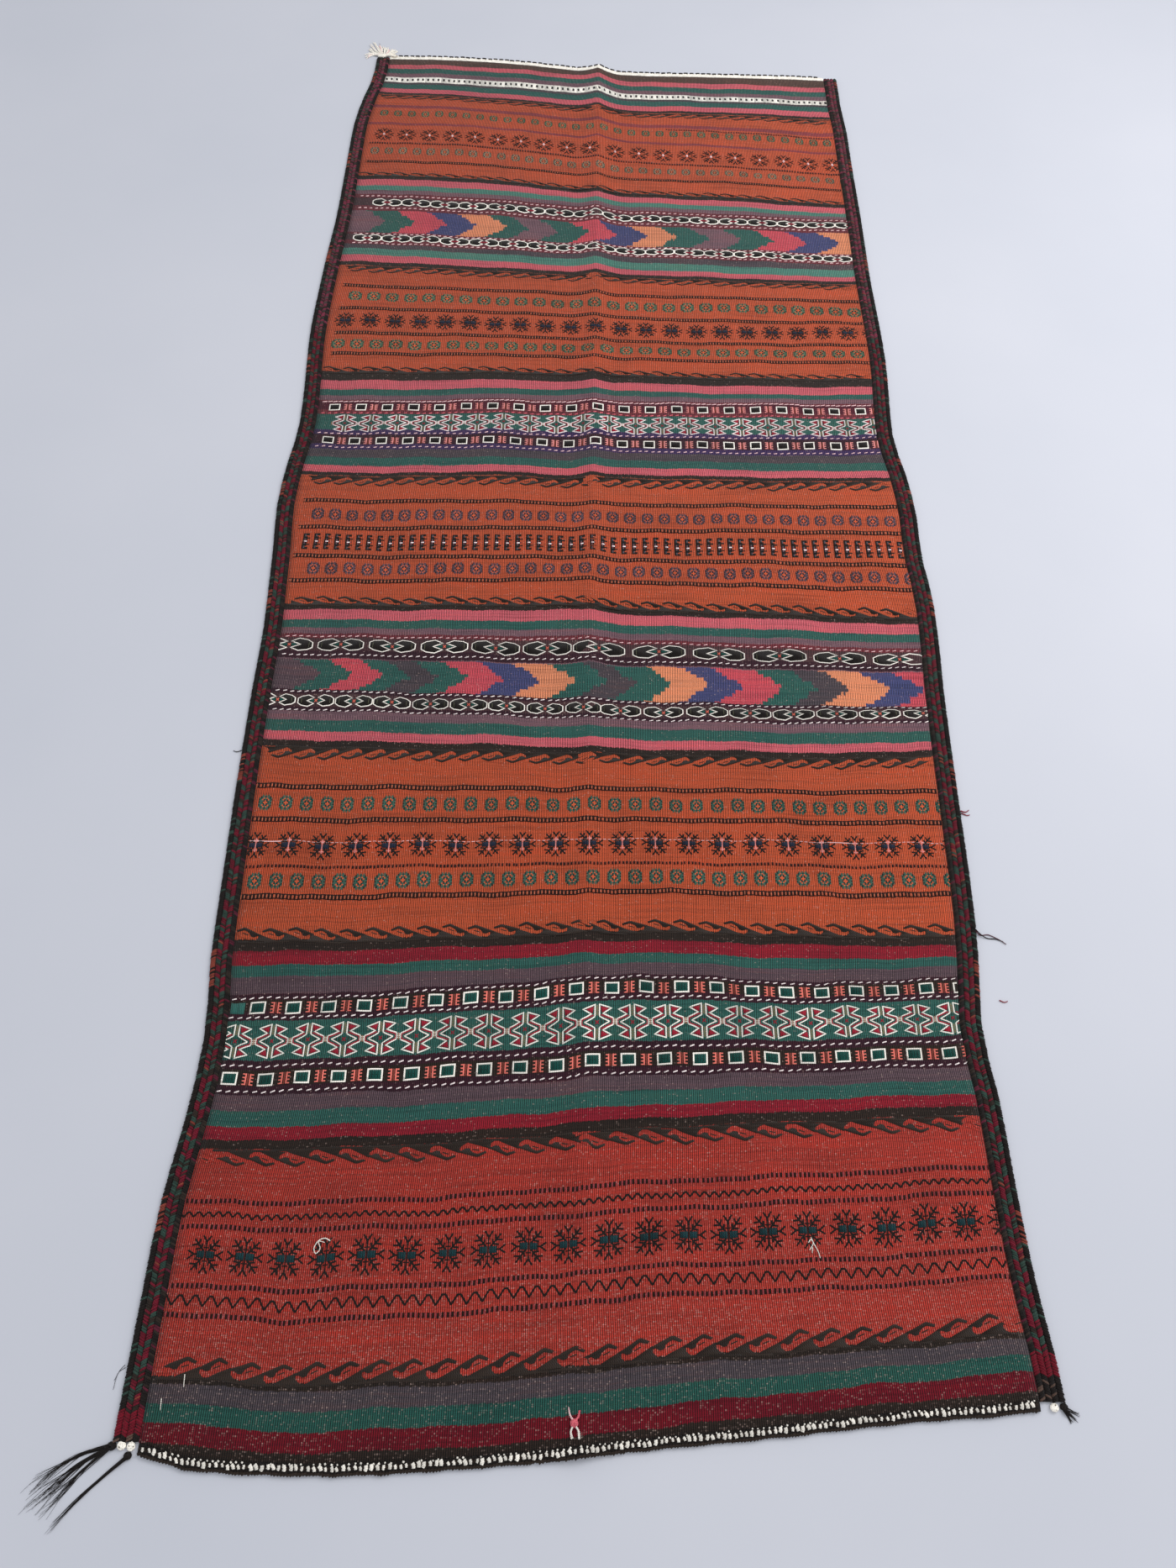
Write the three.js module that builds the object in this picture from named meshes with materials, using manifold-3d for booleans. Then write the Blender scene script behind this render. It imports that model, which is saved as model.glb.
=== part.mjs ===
// A flat-woven kilim runner lying on a floor, with a raised crease down its middle.
// Millimetres, +Z up, +Y along the runner towards its ivory end, Z = 0 on the floor.
import * as THREE from "three";
import { mergeVertices } from "three/addons/utils/BufferGeometryUtils.js";
import Module from "manifold-3d";

const wasm = await Module();
wasm.setup();

// Driving dimensions
const clothThickness = 3;
const seam = 0.3; // space between neighbouring pieces
const bindingWidth = 32;
const bindingValley = 3.6; // thickness between two of its cords
const bindingCrown = 6; // thickness over a cord
const bindingCords = 4;
const ivoryBand = { width: 14, thickness: 3.6, cellsPerColumn: 1, swing: 0 };
const brownHem = { width: 12, thickness: 4.4, cellsPerColumn: 3, swing: 0.8 };
const bandShoulder = 0.72; // thickness at a band's long sides, as a share of its middle
const hemWaveStep = 2.2; // radians of the hem's uneven edge from one cell to the next
const tieGap = 0.4; // space under the yarn tie
const crease = { x: -17, halfWidth: 56, sharpness: 1.7 };
const bindingEnds = { leftTop: 1543, leftBottom: -1535, rightTop: 1473, rightBottom: -1480 };

// Grid counts
const fieldRows = 54;
const columnsPerSide = 13;
const nominalHalf = 560; // half the cloth's width, where its rows are first laid out
const cellsPerCord = 2;
const stepsPerPathPoint = 3;

// Outline of the lying runner: where its two long edges run at each section
const sideRows = [
  { y: -1560, left: -587, right: 588 },
  { y: -1450, left: -586, right: 586 },
  { y: -1350, left: -585, right: 576 },
  { y: -1250, left: -583, right: 571 },
  { y: -1100, left: -568, right: 567 },
  { y: -1000, left: -566, right: 559 },
  { y: -900, left: -577, right: 570 },
  { y: -800, left: -581, right: 577 },
  { y: -600, left: -588, right: 582 },
  { y: -400, left: -592, right: 588 },
  { y: -300, left: -592, right: 594 },
  { y: -200, left: -597, right: 596 },
  { y: -100, left: -603, right: 590 },
  { y: 0, left: -611, right: 593 },
  { y: 100, left: -608, right: 587 },
  { y: 200, left: -599, right: 574 },
  { y: 300, left: -601, right: 578 },
  { y: 400, left: -608, right: 584 },
  { y: 500, left: -613, right: 585 },
  { y: 700, left: -611, right: 582 },
  { y: 900, left: -605, right: 584 },
  { y: 1100, left: -606, right: 584 },
  { y: 1250, left: -606, right: 585 },
  { y: 1350, left: -597, right: 581 },
  { y: 1450, left: -582, right: 582 },
  { y: 1550, left: -581, right: 577 },
];

// Outline of its two short ends, which slant opposite ways
const endRows = [
  { x: -600, top: 1548, bottom: -1535 },
  { x: -500, top: 1550, bottom: -1564 },
  { x: -400, top: 1549, bottom: -1569 },
  { x: -300, top: 1542, bottom: -1569 },
  { x: -200, top: 1531, bottom: -1563 },
  { x: -60, top: 1507, bottom: -1552 },
  { x: 60, top: 1490, bottom: -1538 },
  { x: 200, top: 1488, bottom: -1525 },
  { x: 400, top: 1484, bottom: -1503 },
  { x: 500, top: 1481, bottom: -1496 },
  { x: 600, top: 1474, bottom: -1483 },
];

// How high the crease stands at each section
const creaseRows = [
  { y: -1570, height: 6 },
  { y: -1200, height: 7 },
  { y: -600, height: 9 },
  { y: 0, height: 10 },
  { y: 700, height: 11 },
  { y: 1200, height: 12.5 },
  { y: 1550, height: 14 },
];

// Low swells where the cloth doesn't quite reach the floor
const swells = [
  { x: -330, y: 1180, reachX: 190, reachY: 240, height: 3 },
  { x: 330, y: 1010, reachX: 170, reachY: 260, height: 2.4 },
  { x: -360, y: 120, reachX: 180, reachY: 230, height: 2.2 },
  { x: 300, y: -120, reachX: 200, reachY: 220, height: 2.6 },
  { x: 130, y: -930, reachX: 150, reachY: 150, height: 3.4 },
  { x: -330, y: -1120, reachX: 160, reachY: 190, height: 2.4 },
];

// Smooth reading of one column of a table that is sorted by its key
function readRows(rows, key, column, at) {
  const last = rows.length - 1;
  const x = THREE.MathUtils.clamp(at, rows[0][key], rows[last][key]);
  let i = 0;
  while (i < last - 1 && rows[i + 1][key] < x) i += 1;
  const slopeAt = (k) => {
    const a = rows[Math.max(k - 1, 0)];
    const b = rows[Math.min(k + 1, last)];
    return (b[column] - a[column]) / (b[key] - a[key]);
  };
  const span = rows[i + 1][key] - rows[i][key];
  const t = (x - rows[i][key]) / span;
  const t2 = t * t;
  const t3 = t2 * t;
  return (
    (2 * t3 - 3 * t2 + 1) * rows[i][column] +
    (t3 - 2 * t2 + t) * span * slopeAt(i) +
    (3 * t2 - 2 * t3) * rows[i + 1][column] +
    (t3 - t2) * span * slopeAt(i + 1)
  );
}

const leftEdge = (y) => readRows(sideRows, "y", "left", y);
const rightEdge = (y) => readRows(sideRows, "y", "right", y);
const topEdge = (x) => readRows(endRows, "x", "top", x);
const bottomEdge = (x) => readRows(endRows, "x", "bottom", x);

// Height of the underside over the floor
function lift(x, y) {
  const away = Math.min(Math.abs(x - crease.x) / crease.halfWidth, 1);
  let height = readRows(creaseRows, "y", "height", y) * (1 - away) ** crease.sharpness;
  for (const swell of swells) {
    const r = Math.hypot((x - swell.x) / swell.reachX, (y - swell.y) / swell.reachY);
    if (r < 1) height += swell.height * (1 - r * r) ** 2;
  }
  return height;
}

// A box of cells whose corners are each moved by place(across, along, up), all from 0 to 1
function shapedBlock(across, along, place) {
  const block = new THREE.BoxGeometry(1, 1, 1, across, along, 1);
  const corners = block.attributes.position;
  const moved = new THREE.Vector3();
  for (let i = 0; i < corners.count; i += 1) {
    place(moved, corners.getX(i) + 0.5, corners.getY(i) + 0.5, corners.getZ(i) + 0.5);
    corners.setXYZ(i, moved.x, moved.y, moved.z);
  }
  return block;
}

// Columns of the cloth, close together over the crease: 0 on the crease, 1 on the cloth's edge
function columnShare(k) {
  const creaseColumns = 5;
  const creaseShare = 0.105;
  if (k <= creaseColumns) return (creaseShare * k) / creaseColumns;
  const t = (k - creaseColumns) / (columnsPerSide - creaseColumns);
  return creaseShare + (1 - creaseShare) * t;
}

// A corner of the cloth's grid: column -13 to 13 from left to right, along 0 to 1 upwards
function clothCorner(column, along) {
  const share = columnShare(Math.abs(column));
  const clothY = (x) => {
    const low = bottomEdge(x) + brownHem.width + seam;
    const high = topEdge(x) - ivoryBand.width - seam;
    return low + (high - low) * along;
  };
  const firstY = clothY(crease.x + Math.sign(column) * share * nominalHalf);
  const inset = bindingWidth + seam;
  const side = column < 0 ? leftEdge(firstY) + inset : rightEdge(firstY) - inset;
  const x = crease.x + (side - crease.x) * share;
  const y = clothY(x);
  return new THREE.Vector3(x, y, lift(x, y));
}

function fieldShape() {
  const columns = 2 * columnsPerSide;
  return shapedBlock(columns, fieldRows, (out, across, along, up) => {
    out.copy(clothCorner(Math.round(across * columns) - columnsPerSide, along));
    out.z += up * clothThickness;
  });
}

// A woven edge of four cords laid side by side, flat below and rounded above
function bindingShape(outward, bottom, top) {
  const rows = fieldRows + 2;
  return shapedBlock(bindingCords * cellsPerCord, rows, (out, across, along, up) => {
    const row = THREE.MathUtils.clamp(Math.round(along * rows) - 1, 0, fieldRows);
    const beside = clothCorner(outward * columnsPerSide, row / fieldRows);
    const fromCloth = outward < 0 ? 1 - across : across;
    const round = Math.abs(Math.sin(fromCloth * bindingCords * Math.PI));
    const crown = bindingValley + (bindingCrown - bindingValley) * round;
    let y = beside.y;
    if (along === 0) y = bottom;
    if (along === 1) y = top;
    out.set(beside.x + outward * (seam + fromCloth * bindingWidth), y, up * crown);
  });
}

// A narrow band that follows one end of the cloth and rides over the crease with it
function endBandShape(band, outward) {
  const perColumn = band.cellsPerColumn;
  const steps = 2 * columnsPerSide * perColumn;
  return shapedBlock(steps, 2, (out, across, along, up) => {
    const cell = Math.round(across * steps);
    const column = Math.min(Math.floor(cell / perColumn), 2 * columnsPerSide - 1) - columnsPerSide;
    const share = cell / perColumn - columnsPerSide - column;
    const end = outward > 0 ? 1 : 0;
    out.lerpVectors(clothCorner(column, end), clothCorner(column + 1, end), share);
    const fromCloth = outward > 0 ? along : 1 - along;
    const wave = fromCloth === 1 ? band.swing * Math.sin(across * steps * hemWaveStep) : 0;
    out.y += outward * (seam + fromCloth * band.width + wave);
    out.z += up * band.thickness * (fromCloth === 0.5 ? 1 : bandShoulder);
  });
}

// One lock of yarn or hair with four flat sides, lying on its support from root to tip
function lockShape({ path, root, tip }, support) {
  const route = new THREE.CatmullRomCurve3(path.map(([x, y, z = 0]) => new THREE.Vector3(x, y, z)));
  const steps = stepsPerPathPoint * (path.length - 1);
  const lock = new THREE.CylinderGeometry(1, 1, 1, 4, steps);
  const corners = lock.attributes.position;
  for (let i = 0; i < corners.count; i += 1) {
    const t = THREE.MathUtils.clamp(corners.getY(i) + 0.5, 0, 1);
    const half = root + (tip - root) * t;
    const at = route.getPoint(t);
    const along = route.getTangent(t);
    const side = new THREE.Vector3(along.y, -along.x, 0).normalize();
    const turn = Math.atan2(corners.getZ(i), corners.getX(i)) + Math.PI / 4;
    const middle = Math.hypot(corners.getX(i), corners.getZ(i)) < 0.5;
    const reach = middle ? 0 : half * Math.SQRT2;
    const x = at.x + side.x * reach * Math.cos(turn);
    const y = at.y + side.y * reach * Math.cos(turn);
    corners.setXYZ(i, x, y, support(x, y) + at.z + half + reach * Math.sin(turn));
  }
  return lock;
}

// A rounded lump of knotted yarn whose underside is flat on its support
function knotShape({ x, y, halfX, halfY, height }, support) {
  const knot = new THREE.SphereGeometry(1, 10, 8);
  const corners = knot.attributes.position;
  const flatBelow = -0.6;
  for (let i = 0; i < corners.count; i += 1) {
    const up = Math.max(corners.getY(i), flatBelow);
    const rise = ((up - flatBelow) / (1 - flatBelow)) * height;
    const atX = x + corners.getX(i) * halfX;
    const atY = y - corners.getZ(i) * halfY;
    corners.setXYZ(i, atX, atY, support(atX, atY) + rise);
  }
  return knot;
}

function toSolid(geometry) {
  const bare = geometry.clone();
  bare.deleteAttribute("normal");
  bare.deleteAttribute("uv");
  const merged = mergeVertices(bare, 1e-4);
  const made = new wasm.Manifold(
    new wasm.Mesh({
      numProp: 3,
      vertProperties: new Float32Array(merged.attributes.position.array),
      triVerts: new Uint32Array(merged.index.array),
    }),
  );
  if (made.volume() > 0) return made;
  throw new Error("a lock or knot is inside out");
}

function toGeometry(solid) {
  const mesh = solid.getMesh();
  const geometry = new THREE.BufferGeometry();
  geometry.setAttribute("position", new THREE.BufferAttribute(mesh.vertProperties, 3));
  geometry.setIndex(new THREE.BufferAttribute(mesh.triVerts, 1));
  geometry.computeVertexNormals();
  return geometry;
}

// Locks whose roots are fused in their knot
function tuftShape({ knot, locks }, support) {
  let tuft = toSolid(knotShape(knot, support));
  for (const lock of locks) tuft = tuft.add(toSolid(lockShape(lock, support)));
  return toGeometry(tuft);
}

const wool = {
  rust: new THREE.MeshStandardMaterial({ color: 0xa5432b, roughness: 0.92, metalness: 0 }),
  brown: new THREE.MeshStandardMaterial({ color: 0x2e2420, roughness: 0.95, metalness: 0 }),
  ivory: new THREE.MeshStandardMaterial({ color: 0xe9dfc4, roughness: 0.9, metalness: 0 }),
  black: new THREE.MeshStandardMaterial({ color: 0x17120f, roughness: 0.7, metalness: 0 }),
  pink: new THREE.MeshStandardMaterial({ color: 0xd9687c, roughness: 0.9, metalness: 0 }),
};

// Loose warp ends knotted at the ivory end's left corner
const cornerFringe = {
  knot: { x: -568, y: 1549.6, halfX: 13, halfY: 6, height: 8 },
  locks: [
    { path: [[-578, 1551], [-594, 1556], [-606, 1548], [-609, 1536]], root: 1.7, tip: 0.9 },
    { path: [[-577, 1552], [-597, 1562], [-610, 1556]], root: 1.7, tip: 0.9 },
    { path: [[-576, 1553], [-595, 1572], [-607, 1592]], root: 1.8, tip: 0.8 },
    { path: [[-574, 1554], [-590, 1580], [-602, 1606]], root: 1.8, tip: 0.8 },
    { path: [[-572, 1554], [-583, 1584], [-595, 1614]], root: 1.8, tip: 0.8 },
    { path: [[-569, 1554], [-575, 1585], [-584, 1604]], root: 1.7, tip: 0.7 },
    { path: [[-565, 1554], [-565, 1578], [-568, 1596]], root: 1.7, tip: 0.8 },
    { path: [[-561, 1554], [-556, 1575], [-560, 1594]], root: 1.7, tip: 0.8 },
    { path: [[-558, 1553], [-546, 1570], [-545, 1584]], root: 1.6, tip: 0.8 },
  ],
};

// Long goat hair left at the brown end's two corners
const leftHair = {
  knot: { x: -587, y: -1541, halfX: 6, halfY: 5, height: 6 },
  locks: [
    { path: [[-590, -1541], [-622, -1549], [-655, -1566], [-686, -1590]], root: 2.2, tip: 0.5 },
    { path: [[-590, -1543], [-620, -1558], [-650, -1582], [-684, -1612]], root: 2.4, tip: 0.5 },
    { path: [[-589, -1544], [-615, -1564], [-640, -1590], [-668, -1622]], root: 1.9, tip: 0.4 },
  ],
};
const leftHairLower = {
  knot: { x: -565.5, y: -1551.1, halfX: 5, halfY: 4.4, height: 5 },
  locks: [
    { path: [[-567, -1554], [-592, -1573], [-620, -1602], [-651, -1640]], root: 2, tip: 0.4 },
    { path: [[-569, -1553], [-596, -1570], [-622, -1592], [-640, -1612]], root: 1.5, tip: 0.4 },
  ],
};
const rightHair = {
  knot: { x: 584, y: -1484.4, halfX: 5, halfY: 4, height: 5 },
  locks: [
    { path: [[585, -1488], [591, -1493], [597, -1500]], root: 2, tip: 0.6 },
    { path: [[584, -1489], [588, -1495], [592, -1502]], root: 1.8, tip: 0.6 },
    { path: [[586, -1487], [593, -1489], [601, -1493]], root: 1.6, tip: 0.5 },
  ],
};

// A short pink and ivory yarn tied through the cloth above the brown hem
const yarnTie = {
  knot: { x: -24, y: -1510, halfX: 5, halfY: 5, height: 5 },
  locks: [
    { path: [[-24, -1508], [-29, -1502], [-31, -1494]], root: 1.5, tip: 1 },
    { path: [[-23, -1508], [-19, -1502], [-18, -1496, 0.6]], root: 1.5, tip: 1 },
    { path: [[-25, -1512], [-28, -1519], [-27, -1527]], root: 1.4, tip: 0.9 },
    { path: [[-23, -1512], [-18, -1519, 0.6], [-17, -1527, 0.6]], root: 1.4, tip: 0.9 },
  ],
};

const cornerKnots = [
  { name: "corner_knot_1", x: -575, y: -1540.2, halfX: 5.4, halfY: 5.2, height: 6 },
  { name: "corner_knot_2", x: -563.4, y: -1541, halfX: 5, halfY: 5.6, height: 5.4 },
  { name: "corner_knot_3", x: 572, y: -1485.3, halfX: 5.4, halfY: 5, height: 6 },
];

const kilim = new THREE.Group();
kilim.name = "kilim_runner";

function addPiece(name, geometry, material) {
  const piece = new THREE.Mesh(geometry, material);
  piece.name = name;
  kilim.add(piece);
}

addPiece("kilim_field", fieldShape(), wool.rust);
addPiece("left_binding", bindingShape(-1, bindingEnds.leftBottom, bindingEnds.leftTop), wool.brown);
addPiece("right_binding", bindingShape(1, bindingEnds.rightBottom, bindingEnds.rightTop), wool.brown);
addPiece("ivory_end_band", endBandShape(ivoryBand, 1), wool.ivory);
addPiece("brown_end_hem", endBandShape(brownHem, -1), wool.brown);
const onFloor = () => 0;
const onCloth = (x, y) => lift(x, y) + clothThickness + tieGap;
addPiece("corner_fringe", tuftShape(cornerFringe, onFloor), wool.ivory);
addPiece("left_hair_tassel", tuftShape(leftHair, onFloor), wool.black);
addPiece("left_hair_tassel_lower", tuftShape(leftHairLower, onFloor), wool.black);
addPiece("right_hair_tassel", tuftShape(rightHair, onFloor), wool.black);
addPiece("yarn_tie", tuftShape(yarnTie, onCloth), wool.pink);
for (const { name, ...knot } of cornerKnots) addPiece(name, knotShape(knot, onFloor), wool.ivory);

// The origin is under the middle of the whole piece, on the floor
const reach = new THREE.Box3().setFromObject(kilim);
const middle = reach.getCenter(new THREE.Vector3());
kilim.position.set(-middle.x, -middle.y, -reach.min.z);

export default kilim;
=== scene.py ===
import math

import bmesh
import bpy
import numpy as np
from mathutils import Matrix, Vector
from mathutils.bvhtree import BVHTree


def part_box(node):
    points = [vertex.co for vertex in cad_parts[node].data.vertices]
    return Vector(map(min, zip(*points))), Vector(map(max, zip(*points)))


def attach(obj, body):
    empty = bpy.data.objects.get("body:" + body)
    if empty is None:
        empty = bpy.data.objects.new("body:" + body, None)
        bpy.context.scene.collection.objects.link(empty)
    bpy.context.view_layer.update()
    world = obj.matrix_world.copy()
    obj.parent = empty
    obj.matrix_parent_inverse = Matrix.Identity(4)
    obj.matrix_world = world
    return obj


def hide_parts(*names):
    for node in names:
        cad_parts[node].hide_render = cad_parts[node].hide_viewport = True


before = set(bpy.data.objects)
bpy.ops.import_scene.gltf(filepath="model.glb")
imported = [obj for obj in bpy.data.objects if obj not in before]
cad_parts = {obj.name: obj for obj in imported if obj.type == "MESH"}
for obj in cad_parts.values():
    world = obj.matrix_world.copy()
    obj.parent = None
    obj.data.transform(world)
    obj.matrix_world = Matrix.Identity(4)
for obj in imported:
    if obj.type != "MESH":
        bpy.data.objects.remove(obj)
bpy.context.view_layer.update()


# The lie of the cloth, read from the frame

# Places are counted from a mark near the cloth's middle; one corner knot ties it to the frame
knotMark = (-575.0, -1540.2)
knotLow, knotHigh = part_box("corner_knot_1")
shift = np.array([(knotLow[i] + knotHigh[i]) * 500 - knotMark[i] for i in (0, 1)])
cloth = {"seam": 0.3, "thickness": 3.0, "halfWidth": 560, "warpRun": 1120, "lift": 0.35}


def nodeCorners(name):
    # the corners of a frame node, counted from the mark
    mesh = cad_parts[name].data
    flat = np.empty(len(mesh.vertices) * 3)
    mesh.vertices.foreach_get("co", flat)
    corners = flat.reshape(-1, 3) * 1000
    corners[:, :2] -= shift
    return corners


def edgesOf(name, along):
    corners = nodeCorners(name)
    stations = np.unique(np.round(corners[:, along], 2))
    near = [corners[np.abs(corners[:, along] - s) < 0.02, 1 - along] for s in stations]
    return stations, np.array([n.min() for n in near]), np.array([n.max() for n in near])


leftRows, leftOuter, leftInner = edgesOf("left_binding", 1)
rightRows, rightInner, rightOuter = edgesOf("right_binding", 1)
topColumns, topInner, topOuter = edgesOf("ivory_end_band", 0)
bottomColumns, bottomOuter, bottomInner = edgesOf("brown_end_hem", 0)


def clothLeft(y):
    return np.interp(y, leftRows, leftInner) + cloth["seam"]


def clothRight(y):
    return np.interp(y, rightRows, rightInner) - cloth["seam"]


def clothTop(x):
    return np.interp(x, topColumns, topInner) - cloth["seam"]


def clothBottom(x):
    return np.interp(x, bottomColumns, bottomInner) + cloth["seam"]


# Where single wefts cross the columns of the cloth; each is named by its place at column -400
weftColumns = (-530, -400, -200, -60, 60, 200, 400, 530)
weftLines = {
    1552: (1552, 1552, 1534, 1510, 1490, 1488, 1484, 1482),
    1514: (1514, 1514, 1500, 1478, 1455, 1452, 1447, 1437),
    1461: (1463, 1461, 1445, 1425, 1400, 1395, 1390, 1381),
    1405: (1411, 1405, 1385, 1366, 1346, 1344, 1337, 1330),
    1034: (1037, 1034, 1019, 992, 980, 975, 961, 953),
    727: (733, 727, 715, 707, 700, 695, 687, 686),
    352: (351, 352, 359, 352, 352, 347, 348, 351),
    92: (95, 92, 101, 92, 95, 93, 91, 98),
    -245: (-245, -245, -242, -239, -249, -251, -255, -257),
    -349: (-348, -349, -350, -351, -352, -353, -355, -356),
    -415: (-412, -415, -418, -422, -424, -429, -437, -440),
    -520: (-519, -520, -521, -525, -526, -526, -529, -520),
    -895: (-897, -895, -885, -878, -871, -872, -872, -870),
    -1171: (-1174, -1171, -1161, -1150, -1140, -1132, -1122, -1115),
    -1521: (-1510, -1521, -1515, -1507, -1494, -1480, -1460, -1447),
    -1568: (-1556, -1568, -1562, -1552, -1538, -1525, -1503, -1494),
}
# Where wefts stray further from those lines, at columns right of -400
strayColumns = (-400, 60, 325, 495)
weftStrays = {
    1528: (0, -2, 1, -2), 1490: (0, -3, -5, -3), 1453: (0, 2, 1, 0), 1428: (0, 3, 3, 3),
    1397: (0, 1, 5, 2), 1380: (0, -2, 2, -2), 1318: (0, -6, -8, -15), 1292: (0, -8, -9, -21),
    1246: (0, -1, -11, -16), 1202: (0, -4, -10, -17), 1167: (0, -4, -12, -18),
    1137: (0, -8, -7, -13), 1094: (0, 1, 2, -4), 1024: (0, 0, -2, -3), 1000: (0, 3, 0, -4),
    937: (0, 2, 3, 9), 806: (0, 2, 8, 2), 786: (0, 5, 9, 6), 767: (0, 0, -2, -2),
    745: (0, -5, -5, -6), 721: (0, 0, 1, 1), 640: (0, 4, 10, 7), 607: (0, -3, 9, 1),
    568: (0, -2, -1, 1), 530: (0, -4, 1, 4), 491: (0, -5, -2, -1), 456: (0, 0, 4, 4),
    347: (0, 2, 2, 0), 322: (0, 7, 4, 4), 301: (0, 9, 12, 9), 270: (0, 3, 12, 6),
    224: (0, 5, 6, 5), 175: (0, 1, 5, 7), 157: (0, -1, 1, 2), 104: (0, 5, 5, 3),
    15: (0, -1, 5, 4), -20: (0, 1, 6, 4), -52: (0, 4, 11, 9), -87: (0, 0, 2, 4),
    -150: (0, 3, 5, 2), -179: (0, 8, 7, 7), -247: (0, 0, -1, -5), -323: (0, -1, -5, -7),
    -421: (0, -4, 0, 7), -442: (0, -4, 3, 12), -484: (0, 0, 0, 4), -521: (0, -2, -2, -2),
    -609: (0, 2, 4, 3), -710: (0, 3, 5, 1), -804: (0, 1, 1, 0), -895: (0, 0, -3, -3),
    -936: (0, 5, -6, 0), -966: (0, 15, 2, 10), -1031: (0, 9, 4, 8), -1103: (0, 4, 1, 4),
    -1153: (0, 5, 5, 5), -1289: (0, 2, -1, -1), -1325: (0, 4, -3, -3), -1382: (0, 8, -2, -3),
    -1480: (0, 7, 0, 0), -1525: (0, 7, 6, 5), -1548: (0, 4, 4, 4),
}


def readLines(lines):
    names = np.array(sorted(lines), dtype=float)
    return names, np.array([lines[int(name)] for name in names], dtype=float)


lineNames, linePlaces = readLines(weftLines)
lineSlants = linePlaces - lineNames[:, None]
strayNames, straySlants = readLines(weftStrays)


def slantAt(x, v, columns, names, slants):
    # slants known for some wefts at some columns, read at any place
    fromColumns = np.array([np.interp(x, columns, row) for row in slants])
    upper = np.clip(np.searchsorted(names, v), 1, len(names) - 1)
    share = np.clip((v - names[upper - 1]) / (names[upper] - names[upper - 1]), 0, 1)
    pick = np.arange(len(x))
    return fromColumns[upper - 1, pick] * (1 - share) + fromColumns[upper, pick] * share


def weftLie(x, v):
    # how far the weft v lies along the cloth where it crosses column x
    slant = slantAt(x, v, weftColumns, lineNames, lineSlants)
    stray = slantAt(x, v, strayColumns, strayNames, straySlants)
    waves = 1.1 * np.sin(x / 31 + v / 97) + 0.7 * np.sin(x / 17 - v / 41)
    waves += 0.5 * np.sin(x / 9.7 + v / 23)
    return v + slant + stray + waves


def weftAt(x, v):
    # the same, kept on the cloth
    return np.clip(weftLie(x, v), clothBottom(x), clothTop(x))


acrossStep, alongStep = 5.0, 20.0  # the grid on which the cloth's height is read


def readHeights():
    # the top of the cloth on a grid, smoothed across its facets
    corners = nodeCorners("kilim_field")
    faces = [tuple(p.vertices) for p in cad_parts["kilim_field"].data.polygons]
    tree = BVHTree.FromPolygons(corners.tolist(), faces)
    columns = np.arange(-620, 621, acrossStep)
    rows = np.arange(-1600, 1601, alongStep)
    grid = np.full((len(rows), len(columns)), cloth["thickness"])
    for i, y in enumerate(rows):
        for k, x in enumerate(columns):
            atX = min(max(x, float(clothLeft(y)) + 1), float(clothRight(y)) - 1)
            atY = min(max(y, float(clothBottom(atX)) + 1), float(clothTop(atX)) - 1)
            hit = tree.ray_cast(Vector((atX, atY, 60)), Vector((0, 0, -1)))[0]
            if hit is not None:
                grid[i, k] = hit.z
    grid[:, 1:-1] = (grid[:, :-2] + 2 * grid[:, 1:-1] + grid[:, 2:]) / 4
    return columns, rows, grid


heightColumns, heightRows, heightGrid = readHeights()


def topAt(x, y):
    # the height of the cloth's top, with a fine ripple in it
    across = np.clip((x - heightColumns[0]) / acrossStep, 0, len(heightColumns) - 1.001)
    along = np.clip((y - heightRows[0]) / alongStep, 0, len(heightRows) - 1.001)
    k = across.astype(int)
    i = along.astype(int)
    a = across - k
    b = along - i
    low = heightGrid[i, k] * (1 - a) + heightGrid[i, k + 1] * a
    high = heightGrid[i + 1, k] * (1 - a) + heightGrid[i + 1, k + 1] * a
    ripple = 0.35 * np.sin(x / 26 + y / 61) * np.sin(y / 43 - x / 90)
    return low * (1 - b) + high * b + ripple + cloth["lift"]


def inFrame(x, y, z):
    return np.stack((x + shift[0], y + shift[1], z), axis=1) * 0.001


print("stage: lie of the cloth read")


# Dyes and materials

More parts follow.
